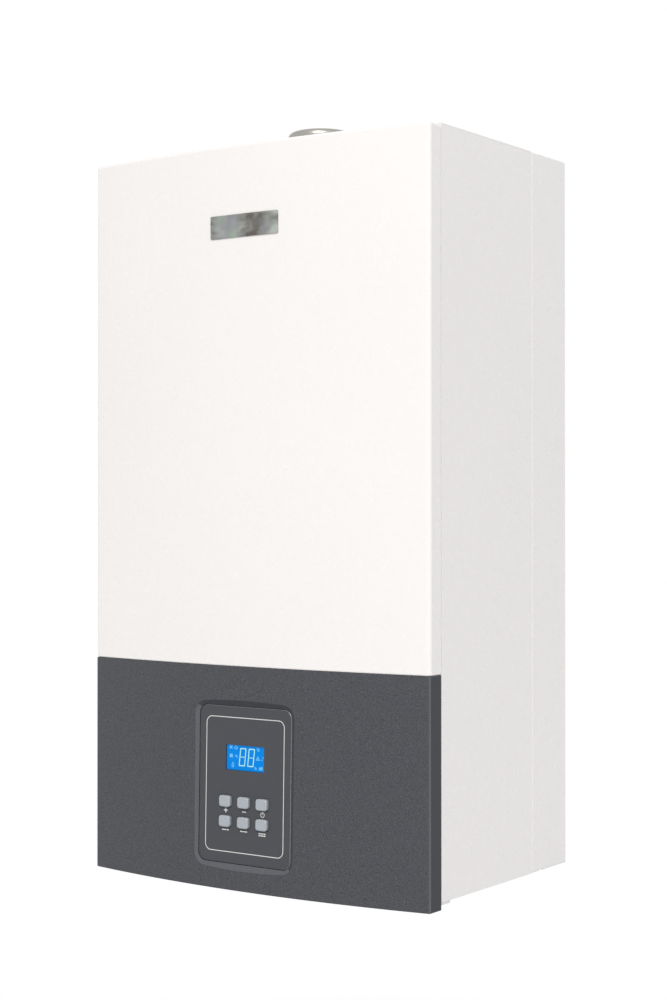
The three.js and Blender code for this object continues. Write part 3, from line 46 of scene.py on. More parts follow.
casing = dict(width=400, halfWidth=200, edgeDepth=257, bow=14, bulge=4.5, rim=238.4, fasciaTop=213)
recess = dict(centre=100, depth=3, width=110.5, height=150.7, radius=9, bevel=5.6, sideBevel=4.7)
halfWidth, edgeDepth, rimDepth = casing["halfWidth"], casing["edgeDepth"], casing["rim"]
fullness = casing["bulge"] * (1 - recess["centre"] / casing["fasciaTop"])
recessSurface = -edgeDepth - casing["bow"] - fullness
fasciaTilt = math.atan(casing["bulge"] / casing["fasciaTop"])
toRecess = Matrix.Translation((0, recessSurface, recess["centre"])) @ Matrix.Rotation(-fasciaTilt, 4, "X")


# ---------- mesh helpers ----------

def newPart():
    return bmesh.new()


def move(bm, x, y, z):
    bmesh.ops.translate(bm, vec=(x, y, z), verts=bm.verts)


def placed(name, data):
    # a new object in the scene
    obj = bpy.data.objects.new(name, data)
    bpy.context.scene.collection.objects.link(obj)
    return obj


def asMesh(bm):
    mesh = bpy.data.meshes.new("part")
    bm.to_mesh(mesh)
    bm.free()
    return mesh


def joined(*parts):
    # several parts in one mesh
    whole = newPart()
    for part in parts:
        mesh = asMesh(part)
        whole.from_mesh(mesh)
        bpy.data.meshes.remove(mesh)
    return whole


def roundEdges(bm, edges, size, segments=2):
    edges = [e for e in edges if e.is_valid]
    if size > 0 and edges:
        bmesh.ops.bevel(bm, geom=edges, offset=size, offset_type="OFFSET", segments=segments, profile=0.5,
                        affect="EDGES", clamp_overlap=True, material=-1)


def sharpEdges(bm, degrees=60):
    return [e for e in bm.edges if len(e.link_faces) == 2 and e.calc_face_angle(0) > math.radians(degrees)]


def frontEdges(bm, limit):
    # the sharp edges that lie in front of a depth
    return [e for e in sharpEdges(bm) if all(v.co.y < limit for v in e.verts)]


def span(edge, axis):
    # how far an edge reaches along x (0), y (1) or z (2)
    return abs(edge.verts[0].co[axis] - edge.verts[1].co[axis])


def box(x0, x1, y0, y1, z0, z1, edge=0.0, segments=2):
    bm = newPart()
    bmesh.ops.create_cube(bm, size=1)
    bmesh.ops.scale(bm, vec=(abs(x1 - x0), abs(y1 - y0), abs(z1 - z0)), verts=bm.verts)
    move(bm, (x0 + x1) / 2, (y0 + y1) / 2, (z0 + z1) / 2)
    roundEdges(bm, bm.edges[:], edge, segments)
    return bm


turns = {"X": Matrix.Rotation(math.pi / 2, 4, "Y"), "Y": Matrix.Rotation(-math.pi / 2, 4, "X"),
         "Z": Matrix()}


def bar(axis, radius, start, end, a, b, edge=0.0, sides=48):
    # a round bar along an axis, with its ends softened; a and b are its place on the other two axes
    bm = newPart()
    bmesh.ops.create_cone(bm, cap_ends=True, segments=sides, radius1=radius, radius2=radius,
                          depth=abs(end - start))
    roundEdges(bm, sharpEdges(bm), edge)
    bm.transform(turns[axis])
    middle = (start + end) / 2
    place = {"X": (middle, a, b), "Y": (a, middle, b), "Z": (a, b, middle)}[axis]
    move(bm, *place)
    return bm


def lathe(outline, x, y, steps=64):
    # a body turned about an upright axis, from (radius, height) pairs
    bm = newPart()
    verts = [bm.verts.new((radius, 0, height)) for radius, height in outline]
    edges = [bm.edges.new(pair) for pair in zip(verts, verts[1:])]
    bmesh.ops.spin(bm, geom=verts + edges, cent=(0, 0, 0), axis=(0, 0, 1), angle=math.tau, steps=steps,
                   use_merge=True, use_duplicate=False)
    bmesh.ops.remove_doubles(bm, verts=bm.verts, dist=1e-4)
    move(bm, x, y, 0)
    return bm


def roundedSlab(width, height, radius, front, back, x=0, z=0, segments=8):
    # a plate seen from the front, with round corners
    bm = box(-width / 2, width / 2, front, back, -height / 2, height / 2)
    roundEdges(bm, [e for e in bm.edges if span(e, 1) > 1e-4], radius, segments)
    move(bm, x, 0, z)
    return bm


def flare(bm, verts, width, height, radius, growX, growZ):
    # pushes the given corner points of a rounded slab outwards
    for vert in verts:
        cx = math.copysign(width / 2 - radius, vert.co.x)
        cz = math.copysign(height / 2 - radius, vert.co.z)
        vert.co.x = cx + (vert.co.x - cx) * (radius + growX) / radius
        vert.co.z = cz + (vert.co.z - cz) * (radius + growZ) / radius


def carved(bm, cutters, operation="DIFFERENCE"):
    # cuts the cutters out of a part, or adds them to it
    linked = []
    for part in [bm, *cutters]:
        bmesh.ops.recalc_face_normals(part, faces=part.faces)
        linked.append(placed("cutting", asMesh(part)))
    for tool in linked[1:]:
        cut = linked[0].modifiers.new("cut", "BOOLEAN")
        cut.operation = operation
        cut.solver = "EXACT"
        cut.object = tool
    evaluated = linked[0].evaluated_get(bpy.context.evaluated_depsgraph_get())
    mesh = bpy.data.meshes.new_from_object(evaluated)
    result = newPart()
    result.from_mesh(mesh)
    bpy.data.meshes.remove(mesh)
    for obj in linked:
        used = obj.data
        bpy.data.objects.remove(obj)
        bpy.data.meshes.remove(used)
    return result


def finishPiece(bm, name, body, material, nodes=(), place=None, sharp=32, metres=False):
    # the part becomes an object that rides on its body
    if place is not None:
        bm.transform(place)
    if not metres:
        bm.transform(toFrame)
    bmesh.ops.recalc_face_normals(bm, faces=bm.faces)
    for face in bm.faces:
        face.smooth = True
    for edge in bm.edges:
        edge.smooth = len(edge.link_faces) == 2 and edge.calc_face_angle(0) < math.radians(sharp)
    mesh = asMesh(bm)
    mesh.name = name
    obj = placed(name, mesh)
    for item in material if isinstance(material, (list, tuple)) else [material]:
        mesh.materials.append(item)
    even = obj.modifiers.new("evenShading", "WEIGHTED_NORMAL")
    even.keep_sharp = True
    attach(obj, body)
    if nodes:
        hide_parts(*nodes)
    return obj


def softened(node, body, material, edge, sharp=40, segments=2):
    # a merged copy of a CAD piece with its edges broken
    bm = newPart()
    bm.from_mesh(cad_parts[node].data)
    bmesh.ops.remove_doubles(bm, verts=bm.verts, dist=1e-6)
    bmesh.ops.dissolve_limit(bm, angle_limit=math.radians(0.5), verts=bm.verts, edges=bm.edges)
    roundEdges(bm, sharpEdges(bm, 50), edge * 0.001, segments)
    return finishPiece(bm, node + "Finished", body, material, [node], sharp=sharp, metres=True)


def drawnCentre(polygon):
    # the middle of a finished face, back in the millimetres it was drawn in
    return Vector(polygon.center) * 1000 + Vector((0, 0, hangHeight))


fromRecess = toRecess.inverted()


# ---------- materials ----------

def tone(red, green, blue):
    # a colour as it is read off a screen, made linear
    def line(v):
        v /= 255
        return v / 12.92 if v <= 0.04045 else ((v + 0.055) / 1.055) ** 2.4
    return (line(red), line(green), line(blue), 1)


class Finish:
    # a procedural material under construction
    def __init__(self, name, color, roughness=0.5, metallic=0.0, **sockets):
        self.material = bpy.data.materials.new(name)
        self.material.use_nodes = True
        self.nodes = self.material.node_tree.nodes
        self.links = self.material.node_tree.links
        self.shader = self.nodes["Principled BSDF"]
        self.shader.inputs["Base Color"].default_value = color
        self.shader.inputs["Roughness"].default_value = roughness
        self.shader.inputs["Metallic"].default_value = metallic
        for socket, value in sockets.items():
            self.shader.inputs[socket.replace("_", " ")].default_value = value
        self.place = self.nodes.new("ShaderNodeTexCoord").outputs["Object"]

    def stretched(self, scale):
        mapping = self.nodes.new("ShaderNodeMapping")
        mapping.inputs["Scale"].default_value = scale
        self.links.new(self.place, mapping.inputs["Vector"])
        return mapping.outputs["Vector"]

    def noise(self, scale, detail=3.0, stretch=(1, 1, 1), roughness=0.5):
        node = self.nodes.new("ShaderNodeTexNoise")
        node.inputs["Scale"].default_value = scale
        node.inputs["Detail"].default_value = detail
        node.inputs["Roughness"].default_value = roughness
        self.links.new(self.stretched(stretch), node.inputs["Vector"])
        return node.outputs["Fac"]

    def cells(self, scale, output="Distance", stretch=(1, 1, 1), feature="F1"):
        node = self.nodes.new("ShaderNodeTexVoronoi")
        node.feature = feature
        node.inputs["Scale"].default_value = scale
        self.links.new(self.stretched(stretch), node.inputs["Vector"])
        return node.outputs[output]

    def mapped(self, value, low, high, toLow=0.0, toHigh=1.0):
        node = self.nodes.new("ShaderNodeMapRange")
        for socket, number in zip(("From Min", "From Max", "To Min", "To Max"), (low, high, toLow, toHigh)):
            node.inputs[socket].default_value = number
        self.links.new(value, node.inputs["Value"])
        return node.outputs["Result"]

    def blended(self, amount, first, second):
        node = self.nodes.new("ShaderNodeMix")
        node.data_type = "RGBA"
        self.links.new(amount, node.inputs["Factor"])
        for socket, value in zip((node.inputs[6], node.inputs[7]), (first, second)):
            if isinstance(value, bpy.types.NodeSocket):
                self.links.new(value, socket)
            else:
                socket.default_value = value
        return node.outputs[2]

    def setColor(self, value):
        self.links.new(value, self.shader.inputs["Base Color"])

    def paint(self, amount, low, high):
        # a colour that wanders between two screen colours
        self.setColor(self.blended(amount, tone(*low), tone(*high)))

    def wear(self, amount, low, high, start=0.3, end=0.7):
        # a roughness that follows a noise, whose values seldom leave start to end
        self.links.new(self.mapped(amount, start, end, low, high), self.shader.inputs["Roughness"])

    def bumped(self, *layers):
        # the material's last step; each layer is (height, distance in metres)
        last = None
        for height, distance in layers:
            node = self.nodes.new("ShaderNodeBump")
            node.inputs["Strength"].default_value = 1.0
            node.inputs["Distance"].default_value = distance
            self.links.new(height, node.inputs["Height"])
            if last is not None:
                self.links.new(last, node.inputs["Normal"])
            last = node.outputs["Normal"]
        self.links.new(last, self.shader.inputs["Normal"])
        return self.material


def makePowderWhite():
    f = Finish("powderWhite", tone(241, 239, 238), 0.26, Specular_IOR_Level=0.38)
    f.paint(f.noise(5, 2), (239, 237, 236), (243, 241, 240))
    f.wear(f.noise(60, 4), 0.22, 0.3)
    return f.bumped((f.noise(220, 2), 0.00002), (f.noise(900, 2), 0.00001))


def makeFasciaGrey():
    f = Finish("fasciaGrey", tone(72, 74, 79), 0.42, 0.1, Specular_IOR_Level=0.25)
    grain = f.blended(f.mapped(f.noise(1100, 2), 0.35, 0.65), tone(60, 62, 67), tone(84, 86, 91))
    fleck = f.mapped(f.cells(1100), 0.10, 0.2, 1, 0)
    f.setColor(f.blended(fleck, grain, tone(116, 118, 122)))
    f.wear(f.noise(400, 3), 0.34, 0.46)
    return f.bumped((f.noise(1100, 2), 0.00004))


def makePlateGrey():
    f = Finish("plateGrey", tone(73, 75, 80), 0.5, Specular_IOR_Level=0.22)
    f.paint(f.noise(1600, 2), (68, 70, 75), (78, 80, 85))
    f.wear(f.noise(300, 3), 0.44, 0.56)
    return f.bumped((f.noise(1800, 2), 0.00003))


def makeSmoothGrey(name, level, roughness, shine):
    # the same plastic as the fascia where the mould was polished: its sides, corners and recess; its level
    # gives lit and shaded copies, painted light on the recess's left and lower slopes and painted shade on
    # its upper and right slopes and on the flat sides
    f = Finish(name, tone(level, level + 2, level + 7), roughness, 0.1, Specular_IOR_Level=shine)
    low, high = tone(level - 4, level - 2, level + 3), tone(level + 4, level + 6, level + 11)
    f.setColor(f.blended(f.mapped(f.noise(1500, 2), 0.35, 0.65), low, high))
    f.wear(f.noise(120, 3), roughness - 0.05, roughness + 0.06)
    return f.bumped((f.noise(160, 2), 0.00004))


def makePlateRimPaintedHighlight():
    # much lighter than the plate grey: a painted highlight along the plate's rounded front edge
    f = Finish("plateRimPaintedHighlight", tone(144, 144, 146), 0.25, 0.3)
    f.paint(f.noise(300, 3), (130, 130, 132), (160, 160, 162))
    f.wear(f.noise(400, 3), 0.2, 0.34)
    return f.material


def makeButtonSilver():
    f = Finish("buttonSilver", tone(168, 175, 181), 0.36, 0.15, Specular_IOR_Level=0.3)
    f.paint(f.noise(500, 3), (160, 167, 174), (177, 184, 189))
    f.wear(f.noise(500, 3), 0.32, 0.44)
    return f.bumped((f.noise(1500, 2), 0.00002))


def makePrintSilver():
    f = Finish("printSilver", tone(226, 226, 224), 0.42, 0.2)
    f.paint(f.noise(900, 2), (216, 216, 214), (236, 236, 234))
    return f.bumped((f.noise(1500, 2), 0.00001))


def makeNameplateFoil():
    # foil with cloudy patches, a little warmer in the dark ones
    f = Finish("nameplateFoil", tone(150, 152, 148), 0.34, 0.9)
    cloud = f.mapped(f.noise(42, 3, (1, 1, 1.6)), 0.36, 0.62)
    patches = f.blended(cloud, tone(104, 98, 93), tone(176, 182, 177))
    band = f.mapped(f.noise(70, 1, (1, 1, 0.5)), 0.35, 0.65)
    hues = f.blended(band, tone(152, 168, 154), tone(146, 138, 152))
    f.setColor(f.blended(f.mapped(f.noise(26, 2), 0.48, 0.66), patches, hues))
    f.wear(f.noise(90, 4, (0.1, 1, 12)), 0.28, 0.42)
    return f.bumped((f.noise(160, 3, (0.08, 1, 16)), 0.00002))


def makeDisplayBlue():
    blue = tone(5, 131, 222)
    f = Finish("displayBlue", blue, 0.4, Emission_Strength=0.5, Specular_IOR_Level=0.06)
    f.shader.inputs["Emission Color"].default_value = blue
    f.paint(f.noise(45, 2), (0, 104, 166), (12, 96, 176))
    return f.bumped((f.noise(400, 2), 0.00001))


def makeDisplayInk(name, red, green, blue, glow):
    f = Finish(name, tone(red, green, blue), 0.4, Emission_Strength=glow)
    f.shader.inputs["Emission Color"].default_value = tone(red, green, blue)
    f.wear(f.noise(600, 2), 0.35, 0.5)
    return f.material


def makeStainless():
    f = Finish("stainless", tone(168, 166, 160), 0.3, 1.0)
    f.paint(f.noise(30, 4, (1, 1, 12)), (156, 154, 148), (180, 178, 172))
    f.wear(f.noise(70, 4, (1, 1, 10)), 0.24, 0.38)
    return f.bumped((f.noise(110, 4, (1, 1, 14)), 0.00003))


def makeZincSheet():
    f = Finish("zincSheet", tone(176, 180, 183), 0.42, 0.9)
    f.paint(f.mapped(f.cells(70, "Color"), 0, 1), (158, 163, 167), (192, 195, 197))
    f.wear(f.cells(70, "Color"), 0.34, 0.54, 0, 1)
    return f.bumped((f.cells(70), 0.00005), (f.noise(500, 3), 0.00003))


def makePlastic(name, red, green, blue, roughness, spread=5):
    f = Finish(name, tone(red, green, blue), roughness)
    low = tone(*(max(v - spread, 0) for v in (red, green, blue)))
    high = tone(*(min(v + spread, 255) for v in (red, green, blue)))
    f.setColor(f.blended(f.noise(35, 4), low, high))
    f.wear(f.noise(260, 3), roughness - 0.07, roughness + 0.09)
    return f.bumped((f.noise(1300, 2), 0.00005))


def makeCircuitGreen():
    f = Finish("circuitGreen", tone(24, 96, 52), 0.35, Coat_Weight=0.4, Coat_Roughness=0.1)
    tracks = f.mapped(f.cells(230, feature="DISTANCE_TO_EDGE"), 0.03, 0.06, 1, 0)
    f.paint(tracks, (20, 84, 46), (46, 128, 76))
    return f.bumped((tracks, 0.00004))


def makeFibreBoard():
    f = Finish("fibreBoard", tone(232, 227, 214), 0.95, Sheen_Weight=0.3)
    f.paint(f.noise(120, 5), (220, 213, 197), (240, 236, 226))
    return f.bumped((f.noise(400, 6, (3, 1, 0.4)), 0.0004), (f.noise(1500, 3), 0.0001))


def makeClearGlass():
    f = Finish("clearGlass", tone(233, 242, 243), 0.03, Transmission_Weight=1.0, IOR=1.47)
    f.wear(f.noise(80, 3), 0.02, 0.06)
    return f.material


def makeCopper():
    f = Finish("copper", tone(196, 124, 92), 0.28, 1.0)
    patina = f.mapped(f.noise(14, 5), 0.42, 0.68)
    f.paint(patina, (206, 132, 99), (150, 88, 62))
    f.wear(f.noise(40, 5), 0.2, 0.42)
    return f.bumped((f.noise(240, 3), 0.00004))


def makeBrass():
    f = Finish("brass", tone(201, 168, 98), 0.3, 1.0)
    f.paint(f.mapped(f.noise(22, 5), 0.35, 0.7), (208, 176, 108), (170, 138, 78))
    f.wear(f.noise(80, 4), 0.24, 0.42)
    return f.bumped((f.noise(420, 3), 0.00005))


def makeCastAluminium():
    f = Finish("castAluminium", tone(178, 181, 183), 0.5, 0.9)
    f.paint(f.noise(30, 5), (166, 169, 171), (190, 192, 194))
    f.wear(f.noise(130, 4), 0.42, 0.6)
    return f.bumped((f.noise(520, 4), 0.0002))


def makeCastIron():
    f = Finish("castIron", tone(70, 73, 76), 0.6, 0.35)
    f.paint(f.noise(40, 5), (60, 63, 66), (82, 85, 88))
    f.wear(f.noise(150, 4), 0.5, 0.72)
    return f.bumped((f.noise(380, 5), 0.00035))


def makeRedEnamel():
    f = Finish("redEnamel", tone(172, 42, 33), 0.3, Coat_Weight=0.4, Coat_Roughness=0.1)
    f.paint(f.noise(9, 4), (160, 36, 29), (182, 48, 38))
    f.wear(f.noise(60, 4), 0.25, 0.4)
    return f.bumped((f.noise(160, 3), 0.00008))


def makeCeramicWhite():
    f = Finish("ceramicWhite", tone(236, 232, 224), 0.35)
    f.paint(f.noise(90, 4), (228, 223, 213), (241, 238, 231))
    return f.bumped((f.noise(500, 3), 0.00006))


powderWhite = makePowderWhite()
fasciaGrey = makeFasciaGrey()
plateGrey = makePlateGrey()
# a lit and a shaded copy of the fascia plastic: painted light and painted shade on the recess slopes
recessPaintedLight = makeSmoothGrey("recessPaintedLight", 94, 0.3, 0.12)
recessPaintedShade = makeSmoothGrey("recessPaintedShade", 68, 0.4, 0.06)
# a darker copy of the fascia plastic for its flat sides: painted shade, on a glossier finish
sideGlossPaintedShade = makeSmoothGrey("sideGlossPaintedShade", 57, 0.2, 0.16)
edgeGrey = makeSmoothGrey("edgeGrey", 74, 0.12, 0.7)
plateRimPaintedHighlight = makePlateRimPaintedHighlight()
buttonSilver = makeButtonSilver()
printSilver = makePrintSilver()
nameplateFoil = makeNameplateFoil()
displayBlue = makeDisplayBlue()
digitInk = makeDisplayInk("digitInk", 160, 216, 212, 0.25)
signInk = makeDisplayInk("signInk", 112, 190, 226, 0.2)
stainless = makeStainless()
zincSheet = makeZincSheet()
blackPlastic = makePlastic("blackPlastic", 38, 39, 41, 0.5, 4)
greyPlastic = makePlastic("greyPlastic", 112, 116, 120, 0.5)
redPlastic = makePlastic("redPlastic", 184, 38, 30, 0.38)
bluePlastic = makePlastic("bluePlastic", 34, 96, 170, 0.38)
circuitGreen = makeCircuitGreen()
fibreBoard = makeFibreBoard()
clearGlass = makeClearGlass()
copper = makeCopper()
brass = makeBrass()
castAluminium = makeCastAluminium()
castIron = makeCastIron()
redEnamel = makeRedEnamel()
ceramicWhite = makeCeramicWhite()
print("materials made")


# ---------- the white door ----------

def bowedBlock(bottom, top, bulge, strips=40):
    # a block as wide as the casing, whose front is bowed and, with a bulge, fuller towards its foot
    bm = box(-halfWidth, halfWidth, -edgeDepth, -rimDepth, bottom, top)
    across = [e for e in bm.edges if span(e, 0) > 1]
    bmesh.ops.subdivide_edges(bm, edges=across, cuts=strips - 1, use_grid_fill=True)
    for vert in bm.verts:
        if vert.co.y < -edgeDepth + 0.1:
            share = 1 - (vert.co.x / halfWidth) ** 2
            lower = 1 - vert.co.z / casing["fasciaTop"]
            vert.co.y -= share * (casing["bow"] + bulge * lower)
    return bm


def frontCorners(bm):
    # the two upright edges at the sides of the front
    found = []
    for edge in bm.edges:
        a, b = edge.verts[0].co, edge.verts[1].co
        atSide = abs(abs(a.x) - halfWidth) < 0.01 and abs(a.x - b.x) < 0.01
        if atSide and max(a.y, b.y) < -edgeDepth + 0.1 and abs(a.z - b.z) > 1:
            found.append(edge)
    return found


def rimLoop(bm, height):
    # the outer edges at one height, without the ones along the open rear
    found = []
    for edge in bm.edges:
        a, b = edge.verts[0].co, edge.verts[1].co
        level = abs(a.z - height) < 0.01 and abs(b.z - height) < 0.01
        outline = len(edge.link_faces) == 2 and edge.calc_face_angle(0) > 1.0
        if level and outline and not (a.y > -rimDepth - 0.1 and b.y > -rimDepth - 0.1):
            found.append(edge)
    return found


def openRear(bm):
    rear = [f for f in bm.faces if f.calc_center_median().y > -rimDepth - 0.1 and abs(f.normal.y) > 0.9]
    bmesh.ops.delete(bm, geom=rear, context="FACES")


def thickened(bm, wall):
    # gives an open shell its wall, inwards
    bmesh.ops.recalc_face_normals(bm, faces=bm.faces)
    bm.normal_update()
    outermost = max((f for f in bm.faces if abs(f.normal.x) > 0.9), key=lambda f: f.calc_center_median().x)
    if outermost.normal.x < 0:
        bmesh.ops.reverse_faces(bm, faces=bm.faces)
        bm.normal_update()
    before = max(v.co.x for v in bm.verts)
    bmesh.ops.solidify(bm, geom=bm.faces[:], thickness=wall)
    if max(v.co.x for v in bm.verts) > before + wall / 2:
        raise RuntimeError("the wall grew outwards")
    return bm


door = dict(bottom=213.1, top=712.5, sideRadius=3.5, topRadius=3, footRadius=1.6, sheet=1.2,
            hookSpacing=250, hookWidth=26, hookTop=710.9, hookBack=-231.4, hookDrop=4,
            hookReach=7, hookEdge=0.3)


def makeDoor(s):
    bm = bowedBlock(s["bottom"], s["top"], 0)
    roundEdges(bm, frontCorners(bm), s["sideRadius"], 8)
    roundEdges(bm, rimLoop(bm, s["top"]), s["topRadius"], 5)
    roundEdges(bm, rimLoop(bm, s["bottom"]), s["footRadius"], 3)
    openRear(bm)
    thickened(bm, s["sheet"])
    hooks = []
    for side in (-1, 1):
        left = side * s["hookSpacing"] / 2 - s["hookWidth"] / 2
        front, back, high, sheet = -rimDepth - s["hookReach"], s["hookBack"], s["hookTop"], s["sheet"]
        low = high - sheet
        for y0, y1, z0, z1 in ((front, back, low, high), (back - sheet, back, low - s["hookDrop"], high),
                               (front, -rimDepth - 1, low, s["top"] - sheet / 2)):
            hooks.append(box(left, left + s["hookWidth"], y0, y1, z0, z1, s["hookEdge"]))
    finishPiece(joined(bm, *hooks), "doorShell", "front_panel", powderWhite, ["front_panel"])


makeDoor(door)

nameplate = dict(width=80.8, height=22, centre=634.3, gap=0.3, thickness=0.8, edge=0.25, corner=1.2)


def makeNameplate(s):
    bm = roundedSlab(s["width"], s["height"], s["corner"], -s["thickness"], 0, segments=4)
    middle = [e for e in bm.edges if span(e, 0) > s["width"] / 2]
    bmesh.ops.subdivide_edges(bm, edges=middle, cuts=19, use_grid_fill=True)
    roundEdges(bm, frontEdges(bm, -s["thickness"] / 2), s["edge"])
    for vert in bm.verts:
        bow = casing["bow"] * (1 - (vert.co.x / halfWidth) ** 2)
        vert.co.y -= edgeDepth + bow + s["gap"]
        vert.co.z += s["centre"]
    finishPiece(bm, "nameplateShaped", "front_panel", nameplateFoil, ["nameplate"])


makeNameplate(nameplate)
print("door made")


# ---------- the grey fascia with its recess ----------

fascia = dict(wall=3, sideRadius=1.6, topRadius=0.5, edgeRadius=1.0, rimFront=2.4, plateThickness=3.9,
              seat=0.3, ledge=3, ledgeThickness=1.5, rim=5, hingeX=186, hingeY=-239.5, hingeZ=2,
              lugRadius=2.8, eyeRadius=1.6, lugWidth=5.5, earWidth=4)


def makeFascia(s):
    top = casing["fasciaTop"]
    shell = bowedBlock(0, top, casing["bulge"])
    roundEdges(shell, frontCorners(shell), s["sideRadius"], 8)
    roundEdges(shell, rimLoop(shell, top), s["topRadius"], 6)
    roundEdges(shell, rimLoop(shell, 0), s["edgeRadius"], 6)
    openRear(shell)
    thickened(shell, s["wall"])

    w, h, r, depth = recess["width"], recess["height"], recess["radius"], recess["depth"]
    grow = s["rim"] + recess["bevel"]
    ledgeFront = depth + s["plateThickness"] + s["seat"]
    ledgeBack = ledgeFront + s["ledgeThickness"]
    rim = roundedSlab(w + 2 * grow, h + 2 * grow, r + grow, s["rimFront"], ledgeBack)
    rim.transform(toRecess)

    lead = 8
    mouth = roundedSlab(w, h, r, -lead, depth, segments=10)
    # the fascia falls away to the sides, so the recess is shallower there
    sideDepth = depth - casing["bow"] * (w / casing["width"]) ** 2
    reach = lead + depth
    lip = [v for v in mouth.verts if v.co.y < 0]
    flare(mouth, lip, w, h, r, recess["sideBevel"] / sideDepth * reach, recess["bevel"] / depth * reach)
    well = roundedSlab(w, h, r, depth - 0.2, ledgeFront, segments=10)
    ledge = 2 * s["ledge"]
    window = roundedSlab(w - ledge, h - ledge, r - s["ledge"], 0, ledgeBack + 1)
    for part in (mouth, well, window):
        part.transform(toRecess)

    notches, lugs = [], []
    for side in (-1, 1):
        notchFront = s["hingeY"] - s["lugRadius"] - 1
        pivot, reach = side * s["hingeX"], s["lugWidth"] + s["earWidth"] / 2
        notches.append(box(pivot - reach, pivot + reach, notchFront, -rimDepth + 1, -1, s["wall"] + 1))
        middle = side * (s["hingeX"] - (s["earWidth"] + 1) / 2)
        left, right = middle - s["lugWidth"] / 2, middle + s["lugWidth"] / 2
        ring = bar("X", s["lugRadius"], left, right, s["hingeY"], s["hingeZ"], 0.3, 32)
        arm = box(left, right, notchFront - 1, s["hingeY"], 0, s["wall"])
        eye = bar("X", s["eyeRadius"], left - 1, right + 1, s["hingeY"], s["hingeZ"], 0, 32)
        lug = carved(ring, [arm], "UNION")
        lugs.append(carved(lug, [eye]))
    whole = carved(shell, [rim], "UNION")
    whole = carved(whole, [mouth, well, window, *notches])
    whole = joined(whole, *lugs)

    # the sloped border of the recess, the sides and their corners are smoother than the front; the border's
    # slopes also carry painted light and painted shade, and the flat sides a painted shade
    obj = finishPiece(whole, "fasciaShell", "control_box",
                      [fasciaGrey, recessPaintedLight, sideGlossPaintedShade, edgeGrey, recessPaintedShade],
                      ["lower_fascia"], sharp=17)
    for polygon in obj.data.polygons:
        centre = drawnCentre(polygon)
        local = fromRecess @ centre
        inside = abs(local.x) < w / 2 + 7 and abs(local.z) < h / 2 + 7
        sloped = abs(polygon.normal.y) < 0.93 and local.y < depth + 0.2
        outer = abs(centre.x) > halfWidth - s["sideRadius"] - 0.1 and abs(polygon.normal.x) > 0.25
        if inside and sloped:
            # painted light: its left and lower slopes get a lighter copy; painted shade: its upper and right
            # slopes get a darker one
            polygon.material_index = 1 if polygon.normal.x + polygon.normal.z > 0 else 4
        elif outer:
            # the flat sides get the darker copy, a painted shade; the rounded corners get a glossier grey
            polygon.material_index = 2 if abs(polygon.normal.x) > 0.97 else 3


makeFascia(fascia)

hinge = dict(length=21, depth=15, thickness=2.5, top=6.7, front=-236.4, side=199.2, pin=1.3, low=-0.5)


def makeHingeBracket(side, name):
    s, f = hinge, fascia
    ear = side * (f["hingeX"] + (f["lugWidth"] + 1) / 2)
    plate = box(side * s["side"], side * (s["side"] - s["length"]), s["front"], s["front"] + s["depth"],
                s["top"] - s["thickness"], s["top"], 0.6, 3)
    cheek = box(ear - f["earWidth"] / 2, ear + f["earWidth"] / 2, f["hingeY"] - 2.5, s["front"] + s["depth"],
                s["low"], s["top"])
    # the underside of the ear rises towards the rear
    for vert in cheek.verts:
        if vert.co.z < 1 and vert.co.y > -230:
            vert.co.z = s["top"] - s["thickness"]
    roundEdges(cheek, cheek.edges[:], 0.4, 2)
    tip = ear - side * (f["earWidth"] / 2 + f["lugWidth"])
    pin = bar("X", s["pin"], ear, tip, f["hingeY"], f["hingeZ"], 0.3, 24)
    finishPiece(joined(plate, cheek, pin), name + "Shaped", "casing", powderWhite, [name])


makeHingeBracket(-1, "hinge_bracket_left")
makeHingeBracket(1, "hinge_bracket_right")
print("fascia made")


# ---------- control plate, display and buttons ----------

plate = dict(width=109.6, height=149.8, radius=8.6, back=6.9, edge=0.9, windowWidth=45.8, windowHeight=24.2,
             windowCentre=26, buttonWidth=13.4, buttonHeight=11, buttonFit=0.3, holeRadius=2.0,
             pitchX=22, pitchZ=19.1, firstRow=-16, pegRadius=2.5, pegX=45.2, pegZ=62.8, pegBack=15.2)
buttonNames = [["plus_button", "minus_button", "power_button"],
               ["mode_button", "info_button", "heating_button"]]


def buttonPlace(row, column):
    return (column - 1) * plate["pitchX"], plate["firstRow"] - row * plate["pitchZ"]


def makeControlPlate(s):
    front = recess["depth"]
    bm = roundedSlab(s["width"], s["height"], s["radius"], front, s["back"], segments=10)
    roundEdges(bm, frontEdges(bm, front + 0.1), s["edge"], 3)
    through = (front - 1, s["back"] + 1)
    fit = 2 * s["buttonFit"]
    cutters = [roundedSlab(s["windowWidth"], s["windowHeight"], 0.8, *through, 0, s["windowCentre"], 3)]
    for row in range(2):
        for column in range(3):
            x, z = buttonPlace(row, column)
            cutters.append(roundedSlab(s["buttonWidth"] + fit, s["buttonHeight"] + fit, s["holeRadius"],
                                       *through, x, z, 5))
    bm = carved(bm, cutters)
    pegs = [bar("Y", s["pegRadius"], s["back"] - 0.5, s["pegBack"], across * s["pegX"], up * s["pegZ"],
                0.3, 20) for across in (-1, 1) for up in (-1, 1)]
    obj = finishPiece(joined(bm, *pegs), "controlPlate", "control_box", [plateGrey, plateRimPaintedHighlight],
                      ["control_plate"], toRecess)
    # its rounded front edge is glossier and painted much lighter than the plate: a painted highlight
    for polygon in obj.data.polygons:
        local = fromRecess @ drawnCentre(polygon)
        rim = max(abs(local.x) - s["width"] / 2, abs(local.z) - s["height"] / 2) > -s["edge"] - 2.6
        bent = abs(polygon.normal.y) < 0.96 and local.y < front + s["edge"]
        polygon.material_index = 1 if rim and bent else 0


makeControlPlate(plate)

border = dict(width=92.8, height=128.4, radius=6.4, line=0.72, raised=0.06)


